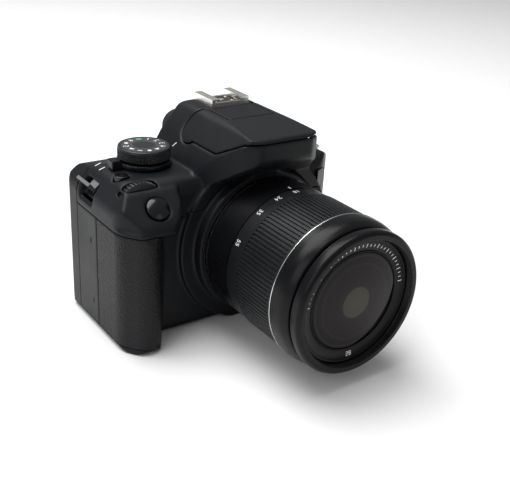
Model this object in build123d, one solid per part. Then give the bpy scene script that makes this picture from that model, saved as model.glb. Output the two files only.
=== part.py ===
from build123d import *
import os

# Interchangeable-lens reflex camera with a standard zoom lens, in millimetres.
# +Z is up, -Y is the way the lens looks, +X is the side away from the hand grip.
# The origin is the mouth of the tripod socket, on the base and under the optical axis.

# ---------------------------------------------------------------- driving sizes
GRIP_SIDE_X = -74.0          # outer face on the grip side
FAR_SIDE_X = 55.0            # outer face on the side away from the grip
FRONT_Y = -24.0              # flat front face beside the lens
BACK_Y = 27.0                # flat back face around the display
SHOULDER_Z = 76.0            # top plate under the mode dial
GRIP_FRONT_Y = -38.0         # furthest reach of the hand grip
NOSE_Y = -44.7               # front of the flash housing over the lens
HUMP_TOP_Z = 97.5            # flat top around the accessory shoe
WALL = 2.0                   # moulded casing wall
LENS_Z = 40.0                # height of the optical axis
FLANGE_Y = -32.0             # lens seat on the mount ring

RUN = 0.3                    # gap round a piece that moves
SLIP = 0.25                  # gap round a button in its hole
SKIN_GAP = 0.1               # gap under the grip's rubber skin
PIVOT_GAP = 0.06             # radial gap of a shaft in its bearing

COVER_SEAM_Z = 60.0          # top cover above, front and back covers below
BACK_SEAM_Y = 14.0           # back cover behind this plane
BASE_SEAM_Z = 3.0            # base cover below this plane
RUBBER_THICK = 1.2
RUBBER_TOP_Z = 57.5
RUBBER_SIDE_Y = -6.5         # where the rubber starts on the grip side

# Lens, radii from the optical axis and distances in front of the lens seat.
BARREL_R = 33.4
BARREL_LENGTH = 18.0
ZOOM_R = 33.8
ZOOM_LENGTH = 32.5
SLEEVE_R = 34.25
SLEEVE_LENGTH = 11.0
GUIDE_R = 31.0               # outside of the fixed guide tube
GUIDE_WALL = 1.1
TUBE_WALL = 1.4              # moving barrel
FOCUS_R = 32.8
FOCUS_LENGTH = 6.4
FILTER_R = 29.0              # thread for a 58 mm filter
FILTER_DEPTH = 3.2
GLASS_R = 22.0
RING_GAP = 0.4               # gap between rings along the axis

SOCKET_R = 3.175             # 1/4 inch tripod thread
SOCKET_DEPTH = 7.0

# Outlines are lists of (u, v, corner radius). A form is what three outlines have in common, so
# each outline runs a little past the others where another one sets the surface.
PLAN_MAIN = [
    (FAR_SIDE_X, BACK_Y, 9.0),
    (GRIP_SIDE_X, BACK_Y, 6.0),
    (GRIP_SIDE_X, FRONT_Y, 4.0),
    (FAR_SIDE_X - 16.0, FRONT_Y, 10.0),
    (FAR_SIDE_X, FRONT_Y + 16.5, 10.0),
]
FACE_MAIN = [
    (GRIP_SIDE_X - 3.0, 8.0, 0.0),
    (GRIP_SIDE_X + 1.6, 0.0, 4.0),
    (FAR_SIDE_X - 1.6, 0.0, 4.0),
    (FAR_SIDE_X + 3.0, 8.0, 0.0),
    (FAR_SIDE_X + 3.0, SHOULDER_Z - 22.0, 0.0),
    (FAR_SIDE_X - 1.2, SHOULDER_Z - 7.0, 8.0),
    (FAR_SIDE_X - 15.0, SHOULDER_Z, 12.0),
    (GRIP_SIDE_X + 8.5, SHOULDER_Z, 8.0),
    (GRIP_SIDE_X + 0.8, SHOULDER_Z - 9.0, 8.0),
    (GRIP_SIDE_X - 3.0, SHOULDER_Z - 24.0, 0.0),
]
SIDE_MAIN = [
    (BACK_Y + 2.0, 9.0, 0.0),
    (BACK_Y - 1.2, 1.4, 3.0),
    (BACK_Y - 6.0, -0.8, 0.0),
    (FRONT_Y + 5.0, -0.8, 0.0),
    (FRONT_Y + 1.2, 1.0, 2.0),
    (FRONT_Y - 2.0, 7.0, 0.0),
    (FRONT_Y - 2.0, SHOULDER_Z - 14.0, 0.0),
    (FRONT_Y + 1.6, SHOULDER_Z - 2.0, 5.0),
    (FRONT_Y + 8.0, SHOULDER_Z + 0.8, 0.0),
    (BACK_Y - 21.0, SHOULDER_Z + 0.8, 0.0),
    (BACK_Y - 3.0, SHOULDER_Z - 3.6, 4.0),
    (BACK_Y + 2.0, SHOULDER_Z - 15.0, 0.0),
]
# The grip below the seam is slimmer than the rounded housing of the release above it.
PLAN_GRIP = [
    (GRIP_SIDE_X, 5.0, 0.0),
    (GRIP_SIDE_X, GRIP_FRONT_Y + 10.0, 12.0),
    (GRIP_SIDE_X + 7.5, GRIP_FRONT_Y, 7.0),
    (GRIP_SIDE_X + 15.0, GRIP_FRONT_Y, 6.0),
    (GRIP_SIDE_X + 21.3, GRIP_FRONT_Y + 10.0, 8.0),
    (GRIP_SIDE_X + 25.8, FRONT_Y + 4.0, 0.0),
    (GRIP_SIDE_X + 25.8, 5.0, 0.0),
]
PLAN_RELEASE = [
    (GRIP_SIDE_X, 6.0, 0.0),
    (GRIP_SIDE_X, GRIP_FRONT_Y + 12.0, 12.0),
    (GRIP_SIDE_X + 9.0, GRIP_FRONT_Y, 10.0),
    (GRIP_SIDE_X + 23.0, GRIP_FRONT_Y, 9.0),
    (GRIP_SIDE_X + 30.5, GRIP_FRONT_Y + 9.0, 7.0),
    (GRIP_SIDE_X + 31.5, FRONT_Y + 4.0, 0.0),
    (GRIP_SIDE_X + 31.5, 6.0, 0.0),
]
SIDE_GRIP = [
    (20.0, -0.8, 0.0),
    (20.0, SHOULDER_Z + 0.4, 0.0),
    (-9.0, SHOULDER_Z + 0.4, 20.0),
    (-23.0, SHOULDER_Z - 2.5, 8.0),
    (GRIP_FRONT_Y + 1.6, SHOULDER_Z - 14.5, 6.0),
    (GRIP_FRONT_Y - 2.0, SHOULDER_Z - 30.0, 0.0),
    (GRIP_FRONT_Y - 2.0, 7.0, 0.0),
    (GRIP_FRONT_Y + 1.6, 0.9, 3.0),
    (GRIP_FRONT_Y + 7.0, -0.8, 0.0),
]
# Flash housing and finder hump over the lens.
FACE_HUMP = [
    (-36.0, SHOULDER_Z - 5.0, 0.0),
    (-31.5, SHOULDER_Z + 1.0, 8.0),
    (-26.0, HUMP_TOP_Z - 11.5, 6.0),
    (-16.0, HUMP_TOP_Z, 7.0),
    (16.0, HUMP_TOP_Z, 7.0),
    (26.0, HUMP_TOP_Z - 11.5, 6.0),
    (31.5, SHOULDER_Z + 1.0, 8.0),
    (36.0, SHOULDER_Z - 5.0, 0.0),
    (36.0, SHOULDER_Z - 11.0, 0.0),
    (-36.0, SHOULDER_Z - 11.0, 0.0),
]
PLAN_HUMP = [
    (-44.0, 21.0, 12.0),
    (-44.0, 0.0, 10.0),
    (-20.5, NOSE_Y + 5.0, 6.0),
    (-14.0, NOSE_Y, 5.0),
    (14.0, NOSE_Y, 5.0),
    (20.5, NOSE_Y + 5.0, 6.0),
    (44.0, 0.0, 10.0),
    (44.0, 21.0, 12.0),
]
SIDE_HUMP = [
    (25.0, SHOULDER_Z - 14.0, 0.0),
    (25.0, HUMP_TOP_Z - 14.0, 0.0),
    (20.7, HUMP_TOP_Z - 1.0, 2.5),
    (17.5, HUMP_TOP_Z + 0.8, 0.0),
    (-8.0, HUMP_TOP_Z + 0.8, 40.0),
    (NOSE_Y + 1.0, HUMP_TOP_Z - 2.0, 2.5),
    (NOSE_Y - 2.0, HUMP_TOP_Z - 6.0, 0.0),
    (NOSE_Y - 1.0, 87.0, 0.0),
    (NOSE_Y + 1.7, 83.0, 2.0),
    (-33.0, 76.5, 6.0),
    (-20.0, SHOULDER_Z - 9.0, 0.0),
    (-20.0, SHOULDER_Z - 14.0, 0.0),
]

# Flash head: it hinges about an axis across the hump and lifts off the housing.
FLASH_HINGE_Y = -2.0
FLASH_HINGE_Z = 91.5
FLASH_ARM_R = 7.4
FLASH_SEAM_Z = 86.0
FLASH_SEAM = 0.35
SHOE_PANEL_X = 12.4          # half width of the fixed panel under the shoe
SHOE_PANEL_FRONT_Y = -17.2
FLASH_PIN_R = 1.5

# Controls: centres, radii and travel.
DIAL_X, DIAL_Y = -46.0, 1.5
DIAL_R = 12.1
DIAL_TOP_Z = 85.0
LEVER_R = 12.6
LEVER_TOP_Z = 78.6
HUB_R = 6.0
SHAFT_R = 3.0
RELEASE_AT = (-56.0, -30.3, 67.6)
RELEASE_TILT = 41.0          # degrees from upright, towards the front
RELEASE_R = 5.2
RELEASE_COLLAR = 0.45        # collar that keeps the release button in, wider than the button by this
GUIDE_DEPTH = 2.8            # depth of the hole that guides the release button
FLASH_KEY_X, FLASH_KEY_Y, FLASH_KEY_R = -62.6, -9.0, 3.2
WHEEL_X, WHEEL_Y, WHEEL_Z = -59.0, -19.4, 65.8
WHEEL_R, WHEEL_WIDTH = 10.8, 4.2
AXLE_R = 1.5

# Back keys: (name, x, z, radius).
BACK_KEYS = [
    ("live_view_button", -27.5, 66.0, 3.6),
    ("ae_lock_button", -53.0, 64.5, 3.0),
    ("af_point_button", -61.5, 62.5, 3.0),
    ("exposure_button", -31.5, 52.8, 3.3),
    ("quick_button", -46.5, 52.8, 3.3),
    ("key_up", -39.0, 44.3, 3.3),
    ("key_down", -39.0, 23.9, 3.3),
    ("key_left", -28.9, 34.1, 3.3),
    ("key_right", -49.1, 34.1, 3.3),
    ("set_button", -39.0, 34.1, 4.8),
    ("display_button", -31.5, 15.4, 3.0),
    ("menu_button", -46.5, 15.4, 3.0),
    ("play_button", -31.5, 7.2, 2.8),
    ("erase_button", -46.5, 7.2, 2.8),
]
KEY_PROUD = 0.7
KEY_COLLAR = 0.8             # collar that keeps a key in, wider than the key by this
COLLAR_THICK = 0.9

# Display window in the back cover.
SCREEN = (-19.5, 49.0, 7.0, 60.0)   # x low, x high, z low, z high
SCREEN_THICK = 1.6

# Battery door in the base, under the grip.
DOOR = (-69.5, -53.4, -22.5, 13.0)  # x low, x of the hinge, y low, y high
DOOR_THICK = 2.2                    # its hinged edge is round, with the pin at half the thickness
DOOR_PIN_R = 0.6
DOOR_PIN_REACH = 1.6

# Rubber cover over the sockets on the far side.
FLAP = (-3.5, 12.0, 18.0, 56.0)     # y low, y high, z low, z high
FLAP_THICK = 1.8                    # hinged on its front edge, which is round
FLAP_PIN_R = 0.5
FLAP_PIN_REACH = 1.4

LATCH_X, LATCH_Z = 39.6, 38.0       # lens release button on the front
LATCH_R = 4.6
LOCK_PIN_AT_R = 29.3
LOCK_PIN_R = 1.1


# ---------------------------------------------------------------- shared shapes
def face_of(corners, inset=0.0):
    """Face with rounded corners, drawn on the ground plane, moved in by inset."""
    points = [(u, v) for u, v, _ in corners]
    radii = [radius for _, _, radius in corners]
    face = make_face(FilletPolyline(*points, radius=radii, close=True))
    if inset:
        face = offset(face, amount=-inset, kind=Kind.INTERSECTION)
    return face


def along_x(corners, low, high, inset=0.0):
    """Prism of a (y, z) outline from x = low to x = high."""
    return extrude(Plane.YZ.offset(low) * face_of(corners, inset), amount=high - low)


def along_y(corners, low, high, inset=0.0):
    """Prism of an (x, z) outline from y = low to y = high."""
    return extrude(Plane.XZ.offset(-high) * face_of(corners, inset), amount=high - low)


def along_z(corners, low, high, inset=0.0):
    """Prism of an (x, y) outline from z = low to z = high."""
    return extrude(Plane.XY.offset(low) * face_of(corners, inset), amount=high - low)


def block(x0, x1, y0, y1, z0, z1):
    """Box between two corners."""
    return Pos((x0 + x1) / 2, (y0 + y1) / 2, (z0 + z1) / 2) * Box(x1 - x0, y1 - y0, z1 - z0)


def rod_x(radius, x0, x1, y, z):
    """Cylinder along X."""
    return Pos((x0 + x1) / 2, y, z) * Rot(0, 90, 0) * Cylinder(radius, x1 - x0)


def rod_y(radius, y0, y1, x=0.0, z=LENS_Z):
    """Cylinder along Y, on the optical axis unless moved."""
    return Pos(x, (y0 + y1) / 2, z) * Rot(90, 0, 0) * Cylinder(radius, y1 - y0)


def rod_z(radius, z0, z1, x, y):
    """Cylinder along Z."""
    return Pos(x, y, (z0 + z1) / 2) * Cylinder(radius, z1 - z0)


def turned(*profile):
    """Ring round the optical axis from (radius, y, corner radius) points."""
    return Pos(0, 0, LENS_Z) * revolve(face_of(profile), Axis.Y)


def sector(inner, outer, y0, y1, middle, width):
    """Part of a ring round the optical axis, at an angle in degrees from +X towards +Z."""
    ring = Pos(0, (y0 + y1) / 2, 0) * Rot(90, 0, 0) * (Cylinder(outer, y1 - y0) - Cylinder(inner, y1 - y0))
    reach = 2.0 * outer
    wedge = Plane.XZ.offset(-y1) * make_face(
        Polyline(
            (0, 0),
            Vector(reach, 0).rotate(Axis.Z, -width / 2),
            Vector(reach, 0).rotate(Axis.Z, width / 2),
            close=True,
        )
    )
    part = ring & extrude(wedge, amount=y1 - y0)
    return Pos(0, 0, LENS_Z) * Rot(0, -middle, 0) * part


# ---------------------------------------------------------------- casing forms
def common(plan, face, side, inset):
    """Solid that an (x, y), an (x, z) and a (y, z) outline have in common."""
    tall = along_z(plan, -20.0, 130.0, inset)
    return tall & along_y(face, -70.0, 60.0, inset) & along_x(side, -100.0, 80.0, inset)


def main_form(inset=0.0):
    """Body without grip and hump."""
    return common(PLAN_MAIN, FACE_MAIN, SIDE_MAIN, inset)


def grip_form(inset=0.0):
    """Hand grip below the seam under the release housing."""
    return common(PLAN_GRIP, FACE_MAIN, SIDE_GRIP, inset) & block(-90, -30, -60, 30, -5, RUBBER_TOP_Z + 2.0)


def release_form(inset=0.0):
    """Rounded housing of the release button at the top of the grip."""
    above = block(-90, -30, -60, 30, RUBBER_TOP_Z + inset, 90)
    return common(PLAN_RELEASE, FACE_MAIN, SIDE_GRIP, inset) & above


def hump_form(inset=0.0):
    """Finder hump with the flash housing's nose."""
    return common(PLAN_HUMP, FACE_HUMP, SIDE_HUMP, inset)


BOSS_R = 35.0
STEP_R = 42.0


def boss_form(inset=0.0):
    """Round step and boss that carry the lens mount."""
    step = rod_y(STEP_R - inset, FRONT_Y - 2.0 + inset, FRONT_Y + 6.0)
    boss = rod_y(BOSS_R - inset, FLANGE_Y + 1.0 + inset, FRONT_Y + 6.0)
    room = block(-STEP_R, STEP_R, FLANGE_Y, FRONT_Y + 6.0, inset, SHOULDER_Z + 1.0 - inset)
    return (step + boss) & room


EYE_X, EYE_Z = 17.5, 77.0
EYE_LOW_Z, EYE_HIGH_Z = 65.5, 88.5
EYE_BACK_Y = 28.6
EYECUP_BACK_Y = 34.6


def eye_form(inset=0.0):
    """Block round the finder eyepiece."""
    corners = [
        (-EYE_X, EYE_LOW_Z, 4.0),
        (-EYE_X, EYE_HIGH_Z, 7.0),
        (EYE_X, EYE_HIGH_Z, 7.0),
        (EYE_X, EYE_LOW_Z, 4.0),
    ]
    return along_y(corners, 12.0, EYE_BACK_Y - inset, inset)


# ---------------------------------------------------------------- flash head zone
def flash_zone(gap=0.0):
    """Space of the lifting flash head, grown by gap on every seam."""
    low = FLASH_SEAM_Z - gap
    body = along_x(
        [
            (FLASH_HINGE_Y, low, 0.0),
            (FLASH_HINGE_Y, HUMP_TOP_Z + 3.0, 0.0),
            (NOSE_Y - 2.0, HUMP_TOP_Z + 3.0, 0.0),
            (NOSE_Y - 2.0, HUMP_TOP_Z - 3.2 - gap, 0.0),
            (NOSE_Y + 5.0, HUMP_TOP_Z - 4.2 - gap, 3.0),
            (-26.0, low, 6.0),
        ],
        -42.0,
        42.0,
    )
    arm = rod_x(FLASH_ARM_R + gap, -42.0, 42.0, FLASH_HINGE_Y, FLASH_HINGE_Z)
    panel = block(
        -SHOE_PANEL_X - RUN + gap,
        SHOE_PANEL_X + RUN - gap,
        SHOE_PANEL_FRONT_Y - RUN + gap,
        30.0,
        0.0,
        HUMP_TOP_Z + 4.0,
    )
    return (body + arm) - panel


# ---------------------------------------------------------------- covers
def release_rod(radius, low, high):
    """Cylinder on the release button's leaning axis, measured from the casing's surface."""
    place = Location(RELEASE_AT, (RELEASE_TILT, 0, 0))
    return place * Pos(0, 0, (low + high) / 2) * Cylinder(radius, high - low)


def casing():
    """Moulded skin between the outer form and the inner form."""
    makers = [main_form, grip_form, release_form, hump_form, boss_form, eye_form]
    outer, inner = makers[0](), makers[0](WALL)
    for maker in makers[1:]:
        outer += maker()
        inner += maker(WALL)
    return outer - inner


SHELL = casing()

SCREW_HEAD_R, SCREW_R, SCREW_HEAD = 1.7, 0.9, 1.0
BASE_SCREWS = [(-31.0, 12.0), (45.0, 12.0), (37.0, -13.0), (-31.0, -13.0)]
MOUNT_SCREW_ANGLES = [45.0, 135.0, 225.0, 315.0]
MOUNT_SCREW_AT_R = 29.3
MOUNT_RING_R = 31.5
MOUNT_RING_THICK = 3.0
THROAT_R = 27.0              # clear bore of the mount ring between its tabs
TAB_R = 25.4
TAB_THICK = 1.5
TAB_ANGLES = [90.0, 210.0, 330.0]
SOCKET_Y = 5.5
SOCKETS = [(47.5, 4.0), (36.5, 5.8), (25.0, 3.4)]   # centre height, half height
BUSH_R, BUSH_FLANGE_R = 6.0, 9.0
FLOOR_TOP_Z = 3.6            # top of the chassis floor
BAY = (15.5, NOSE_Y + 3.0, -21.0, 84.5)             # flash well: half width, front, back, floor
KNOB_Y, KNOB_Z, KNOB_R, KNOB_PIN_R = 25.0, 80.0, 3.0, 1.0
LUG_Y = 4.5
LUG_LONG, LUG_TALL, LUG_THICK = 12.5, 7.0, 1.5
LUG_AT = [(-70.6, 70.4, -40.0), (51.0, 69.4, 40.0)]   # x, z, lean in degrees


def on_circle(radius, angle):
    """Point (x, z) on a circle round the optical axis, angle from +X towards +Z."""
    spot = Vector(radius, 0).rotate(Axis.Z, angle)
    return spot.X, LENS_Z + spot.Y


def door_edge(gap=0.0):
    """Round hinged edge of the battery door, grown by gap."""
    _, hinge, low, high = DOOR
    return rod_y(DOOR_THICK / 2 + gap, low - gap, high + gap, hinge, DOOR_THICK / 2)


def flap_edge(gap=0.0):
    """Round hinged edge of the rubber flap, grown by gap."""
    front, _, low, high = FLAP
    half = FLAP_THICK / 2
    return rod_z(half + gap, low - gap, high + gap, FAR_SIDE_X - half, front + half)


def bottom_cover():
    """Base plate with the openings for the tripod socket and the battery door."""
    cover = SHELL & block(-90, 90, -60, 60, -1, BASE_SEAM_Z)
    cover -= rod_z(BUSH_R + RUN, -1, BASE_SEAM_Z + 1, 0, 0)
    x0, hinge, y0, y1 = DOOR
    cover += block(x0 - 2.0, hinge + 2.6, y1, y1 + 3.0, 0.5, BASE_SEAM_Z)
    cover += block(x0 + 2.0, hinge - 2.0, y0 - 3.0, y0, 0.5, BASE_SEAM_Z)
    cover -= block(x0 - RUN, hinge, y0 - RUN, y1 + RUN, -1, BASE_SEAM_Z + 1)
    cover -= door_edge(RUN)
    cover -= block(hinge, hinge + DOOR_THICK / 2 + 2 * RUN, y0 - RUN, y1 + RUN, -1, BASE_SEAM_Z + 1)
    reach = DOOR_PIN_REACH + RUN
    cover -= rod_y(DOOR_PIN_R + PIVOT_GAP, y0 - reach, y1 + reach, hinge, DOOR_THICK / 2)
    cover -= latch_notch()
    for x, y in BASE_SCREWS:
        cover -= rod_z(SCREW_HEAD_R + SKIN_GAP, -1, SCREW_HEAD, x, y)
        cover -= rod_z(SCREW_R + SKIN_GAP, -1, BASE_SEAM_Z + 1, x, y)
    return cover


LATCH_Y0, LATCH_Y1 = -12.0, -4.0     # door latch, width along the door's outer edge


def latch_notch():
    """Notch in the base rim that takes the nose of the door latch."""
    x0 = DOOR[0]
    return block(x0 - 1.6, x0, LATCH_Y0 + 1.4, LATCH_Y1 - 1.4, -1, 1.9)


def front_cover():
    """Front cover with the mount boss and the core of the hand grip."""
    low = block(-90, 90, -60, BACK_SEAM_Y, BASE_SEAM_Z, COVER_SEAM_Z)
    boss = rod_y(BOSS_R + 1.0, FLANGE_Y - 1.0, FRONT_Y + WALL)
    cover = (SHELL & (low + boss)) - release_room()
    cover -= grip_form() & rubber_room(SKIN_GAP)
    inset = RUBBER_THICK + SKIN_GAP
    core = grip_form(inset) - grip_form(inset + WALL) - Pos(0, 0, -1) * grip_form(inset + WALL)
    cover += core & rubber_room(SKIN_GAP)
    cover -= rod_y(MOUNT_RING_R + RUN, FLANGE_Y - 1.0, FRONT_Y + 12.0)
    cover -= rod_y(LATCH_R + SLIP, FLANGE_Y - 1.0, FRONT_Y + 12.0, LATCH_X, LATCH_Z)
    # Pocket and socket wall behind the rubber flap.
    y0, y1, z0, z1 = FLAP
    wall_x = FAR_SIDE_X - FLAP_THICK - RUN
    lining = block(wall_x - 2.4, FAR_SIDE_X - 0.5, y0 - 2.0, y1 + 2.0, z0 - 2.2, z1 + 2.2)
    cover += lining
    cover -= block(wall_x, FAR_SIDE_X + 2, y0 - RUN + FLAP_THICK / 2, y1 + RUN, z0 - RUN, z1 + RUN)
    cover -= flap_edge(RUN)
    cover -= block(FAR_SIDE_X - FLAP_THICK / 2, FAR_SIDE_X + 2, y0 - RUN, y0 + 3, z0 - RUN, z1 + RUN)
    reach = FLAP_PIN_REACH + RUN
    half = FLAP_THICK / 2
    cover -= rod_z(FLAP_PIN_R + PIVOT_GAP, z0 - reach, z1 + reach, FAR_SIDE_X - half, y0 + half)
    for z, half in SOCKETS:
        cover -= block(wall_x - 5.0, FAR_SIDE_X, SOCKET_Y - 2.6, SOCKET_Y + 2.6, z - half, z + half)
    return cover


def rubber_room(gap=0.0):
    """Space taken by the rubber skin of the grip, grown by gap."""
    tall = block(-90, -46.5 + gap, -60, RUBBER_SIDE_Y + gap, BASE_SEAM_Z, RUBBER_TOP_Z)
    return tall - block(-60, -40, FRONT_Y - 1.0 + gap, 0, 0, 90)


def release_room():
    """Strip above the rubber that belongs to the top cover."""
    return block(-90, -38, -60, BACK_SEAM_Y, RUBBER_TOP_Z, 90)


def grip_rubber():
    """Rubber skin wrapped round the front of the grip."""
    return (grip_form() - grip_form(RUBBER_THICK)) & rubber_room()


def back_zone():
    """Space that belongs to the back cover."""
    zone = block(-90, 90, BACK_SEAM_Y, 60, BASE_SEAM_Z, COVER_SEAM_Z + 14.0)
    return zone - block(-22.0, 22.0, 0, 60, COVER_SEAM_Z + 2.0, 100)


def rear_cover():
    """Back cover with the display opening and the holes of the keys."""
    cover = SHELL & back_zone()
    x0, x1, z0, z1 = SCREEN
    cover += block(x0 - 2.0, x1 + 2.0, BACK_Y - WALL - 1.4, BACK_Y - 0.5, z0 - 2.0, z1 + 2.0)
    cover -= block(x0, x1, BACK_Y - SCREEN_THICK, BACK_Y + 1, z0, z1)
    cover -= block(x0 + 3.0, x1 - 3.0, BACK_Y - 6.0, BACK_Y, z0 + 3.0, z1 - 3.0)
    for _, x, z, radius in BACK_KEYS:
        cover -= rod_y(radius + SLIP, BACK_Y - 6.0, BACK_Y + 1.0, x, z)
        cover -= rod_y(radius + KEY_COLLAR + RUN, BACK_Y - 8.0, BACK_Y - WALL, x, z)
    return cover


def top_cover():
    """Top cover with the release housing, the hump and the fixed bay of the flash."""
    cover = SHELL & block(-90, 90, -60, 60, COVER_SEAM_Z, 110)
    cover += SHELL & block(-90, -38, -60, BACK_SEAM_Y, RUBBER_TOP_Z, COVER_SEAM_Z)
    cover -= back_zone()
    cover -= rod_y(BOSS_R + 1.0, FLANGE_Y - 2.0, FRONT_Y + WALL)
    # Floor of the flash bay, bearing block of its arms and sides of the shoe panel.
    thick = WALL + FLASH_SEAM_Z - BAY[3]
    floor = hump_form(0.4) & block(-42, 42, -60, 6.0, FLASH_SEAM_Z - thick, FLASH_SEAM_Z)
    seat = rod_x(FLASH_ARM_R + 2.2, -36, 36, FLASH_HINGE_Y, FLASH_HINGE_Z)
    seat &= block(-42, 42, FLASH_HINGE_Y - 12, 20, 79, FLASH_HINGE_Z + 3.0)
    inner = SHOE_PANEL_X - WALL
    cheeks = block(-SHOE_PANEL_X, SHOE_PANEL_X, SHOE_PANEL_FRONT_Y, 19, FLASH_SEAM_Z - 3.0, HUMP_TOP_Z - 1.0)
    cheeks -= block(-inner, inner, SHOE_PANEL_FRONT_Y + WALL, 30, 70, HUMP_TOP_Z - WALL)
    cover += floor + (seat & hump_form(0.4)) + (cheeks & hump_form())
    cover -= flash_zone(FLASH_SEAM)
    half, front, back, bottom = BAY
    cover -= block(-half, half, front, back, bottom, HUMP_TOP_Z + 5)
    cover -= flash_hinge_pins(FLASH_PIN_R + PIVOT_GAP, PIVOT_GAP)
    cover = top_controls(cover)
    cover = shoulder_pockets(cover)
    cover -= block(-EYE_WINDOW_X, EYE_WINDOW_X, 10, 40, EYE_Z - EYE_WINDOW_Z, EYE_Z + EYE_WINDOW_Z)
    cover -= rod_x(KNOB_PIN_R + PIVOT_GAP, -EYE_X - 2, -EYE_X + WALL + 1, KNOB_Y, KNOB_Z)
    return cover


EYE_WINDOW_X, EYE_WINDOW_Z = 11.5, 7.0


def flash_hinge_pins(radius, extra=0.0):
    """Hinge pins of the flash head, made longer by extra."""
    pins = []
    for side in (-1, 1):
        near, far = side * (SHOE_PANEL_X - WALL - 1.0 - extra), side * (SHOE_PANEL_X + 3.0)
        pins.append(rod_x(radius, min(near, far), max(near, far), FLASH_HINGE_Y, FLASH_HINGE_Z))
    return pins[0] + pins[1]


def top_controls(cover):
    """Cuts the seats of the dial, the release, the wheel and the flash key."""
    cover += rod_z(HUB_R, SHOULDER_Z - 1.0, LEVER_TOP_Z + 0.1, DIAL_X, DIAL_Y)
    cover -= rod_z(SHAFT_R + PIVOT_GAP, 60, 80, DIAL_X, DIAL_Y)
    cover += (release_form(0.2) + main_form(0.2)) & release_rod(RELEASE_R + 2.4, -GUIDE_DEPTH, 6.0)
    cover -= release_rod(RELEASE_R + SLIP, -GUIDE_DEPTH - 2.4, 8.0)
    cover -= rod_z(FLASH_KEY_R + SLIP, 60, 80, FLASH_KEY_X, FLASH_KEY_Y)
    cover -= rod_z(FLASH_KEY_R + 0.7, 60, SHOULDER_Z - WALL - 0.6, FLASH_KEY_X, FLASH_KEY_Y)
    half = WHEEL_WIDTH / 2 + RUN
    for side in (-1, 1):
        y = WHEEL_Y + side * (half + 0.6)
        web = block(WHEEL_X - 4.0, WHEEL_X + 4.0, y - 0.6, y + 0.6, WHEEL_Z - 3.5, 78)
        cover += web & (release_form(0.3) + main_form(0.3))
    cover -= release_rod(RELEASE_R + RELEASE_COLLAR + SLIP, -GUIDE_DEPTH - 2.6, -GUIDE_DEPTH)
    cover -= rod_y(WHEEL_R + 0.6, WHEEL_Y - half, WHEEL_Y + half, WHEEL_X, WHEEL_Z)
    cover -= rod_y(AXLE_R + PIVOT_GAP, WHEEL_Y - half - 1.4, WHEEL_Y + half + 1.4, WHEEL_X, WHEEL_Z)
    return cover


def shoulder_pockets(cover):
    """Cuts the two pockets of the strap lugs, each closed by its own wall."""
    for x, z, lean in LUG_AT:
        place = Pos(x, LUG_Y, z) * Rot(0, lean, 0)
        outward = 1 if x > 0 else -1
        lining = place * Pos(outward, 0, 0) * Box(9.0, LUG_LONG + 4.0, LUG_TALL + 7.0)
        cover += lining & main_form() & block(-90, 90, -60, 60, COVER_SEAM_Z, 100)
        cover -= place * Pos(outward * 9.0, 0, 0) * Box(21.0, LUG_LONG + 1.0, LUG_TALL + 3.5)
    return cover


def strap_lugs():
    """The two slotted metal lugs."""
    lugs = []
    for x, z, lean in LUG_AT:
        place = Pos(x, LUG_Y, z) * Rot(0, lean, 0)
        outward = 1 if x > 0 else -1
        plate = Pos(outward * 2.4, 0, 0) * Box(LUG_THICK, LUG_LONG, LUG_TALL)
        plate -= Pos(outward * 2.4, 0, 1.2) * Box(LUG_THICK * 2, LUG_LONG - 3.2, 2.6)
        foot = Pos(outward * 0.1, 0, -LUG_TALL / 2 + 0.8) * Box(3.2, 6.0, 1.6)
        lugs.append(place * (plate + foot))
    return Compound(children=lugs)


# ---------------------------------------------------------------- inside the body
CHEEK_X = 17.5               # half width of the mirror box, between the chassis cheeks
BOX_BACK_Y = 6.0
BOX_LOW_Z, BOX_HIGH_Z = 22.0, 54.5
BOX_FRONT_Y = FLANGE_Y + MOUNT_RING_THICK
MIRROR_Y, MIRROR_Z = 3.4, 50.4   # hinge of the reflex mirror
MIRROR_LENGTH, MIRROR_X, MIRROR_THICK = 22.0, 14.2, 1.6
MIRROR_PIN_R = 0.8
SENSOR_Y = 12.0
BACKPLATE_Y = 14.2


def chassis():
    """Metal frame: floor, back plate, cheeks of the mirror box and battery box wall."""
    frame = block(-38, 41.0, -16.2, BACKPLATE_Y + 1.2, WALL, FLOOR_TOP_Z)
    frame += block(40.0, 48.5, -5.0, BACKPLATE_Y + 1.2, WALL, FLOOR_TOP_Z)
    frame += block(-68, 50, BACKPLATE_Y, BACKPLATE_Y + 1.2, FLOOR_TOP_Z - 0.2, 57.0)
    for side in (-1, 1):
        inner, outer = side * CHEEK_X, side * (CHEEK_X + 1.2)
        frame += block(min(inner, outer), max(inner, outer), -16.2, BACKPLATE_Y + 0.5, 3.0, 56.0)
    frame += block(-53.2, -52.2, -20.0, BACKPLATE_Y + 0.5, FLOOR_TOP_Z, 54.0)
    frame += block(-64.0, -58.0, 13.2, BACKPLATE_Y + 0.5, 10.0, 50.0)
    for x in (-34.0, 46.0):
        for z in (8.0, 54.0):
            frame += rod_y(2.0, BACKPLATE_Y + 0.5, BACKPLATE_Y + 2.8, x, z)
    frame -= rod_z(BUSH_R + RUN, 0, 10, 0, 0)
    for x, y in BASE_SCREWS:
        frame -= rod_z(SCREW_R + SKIN_GAP, 0, 10, x, y)
    return frame


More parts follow.
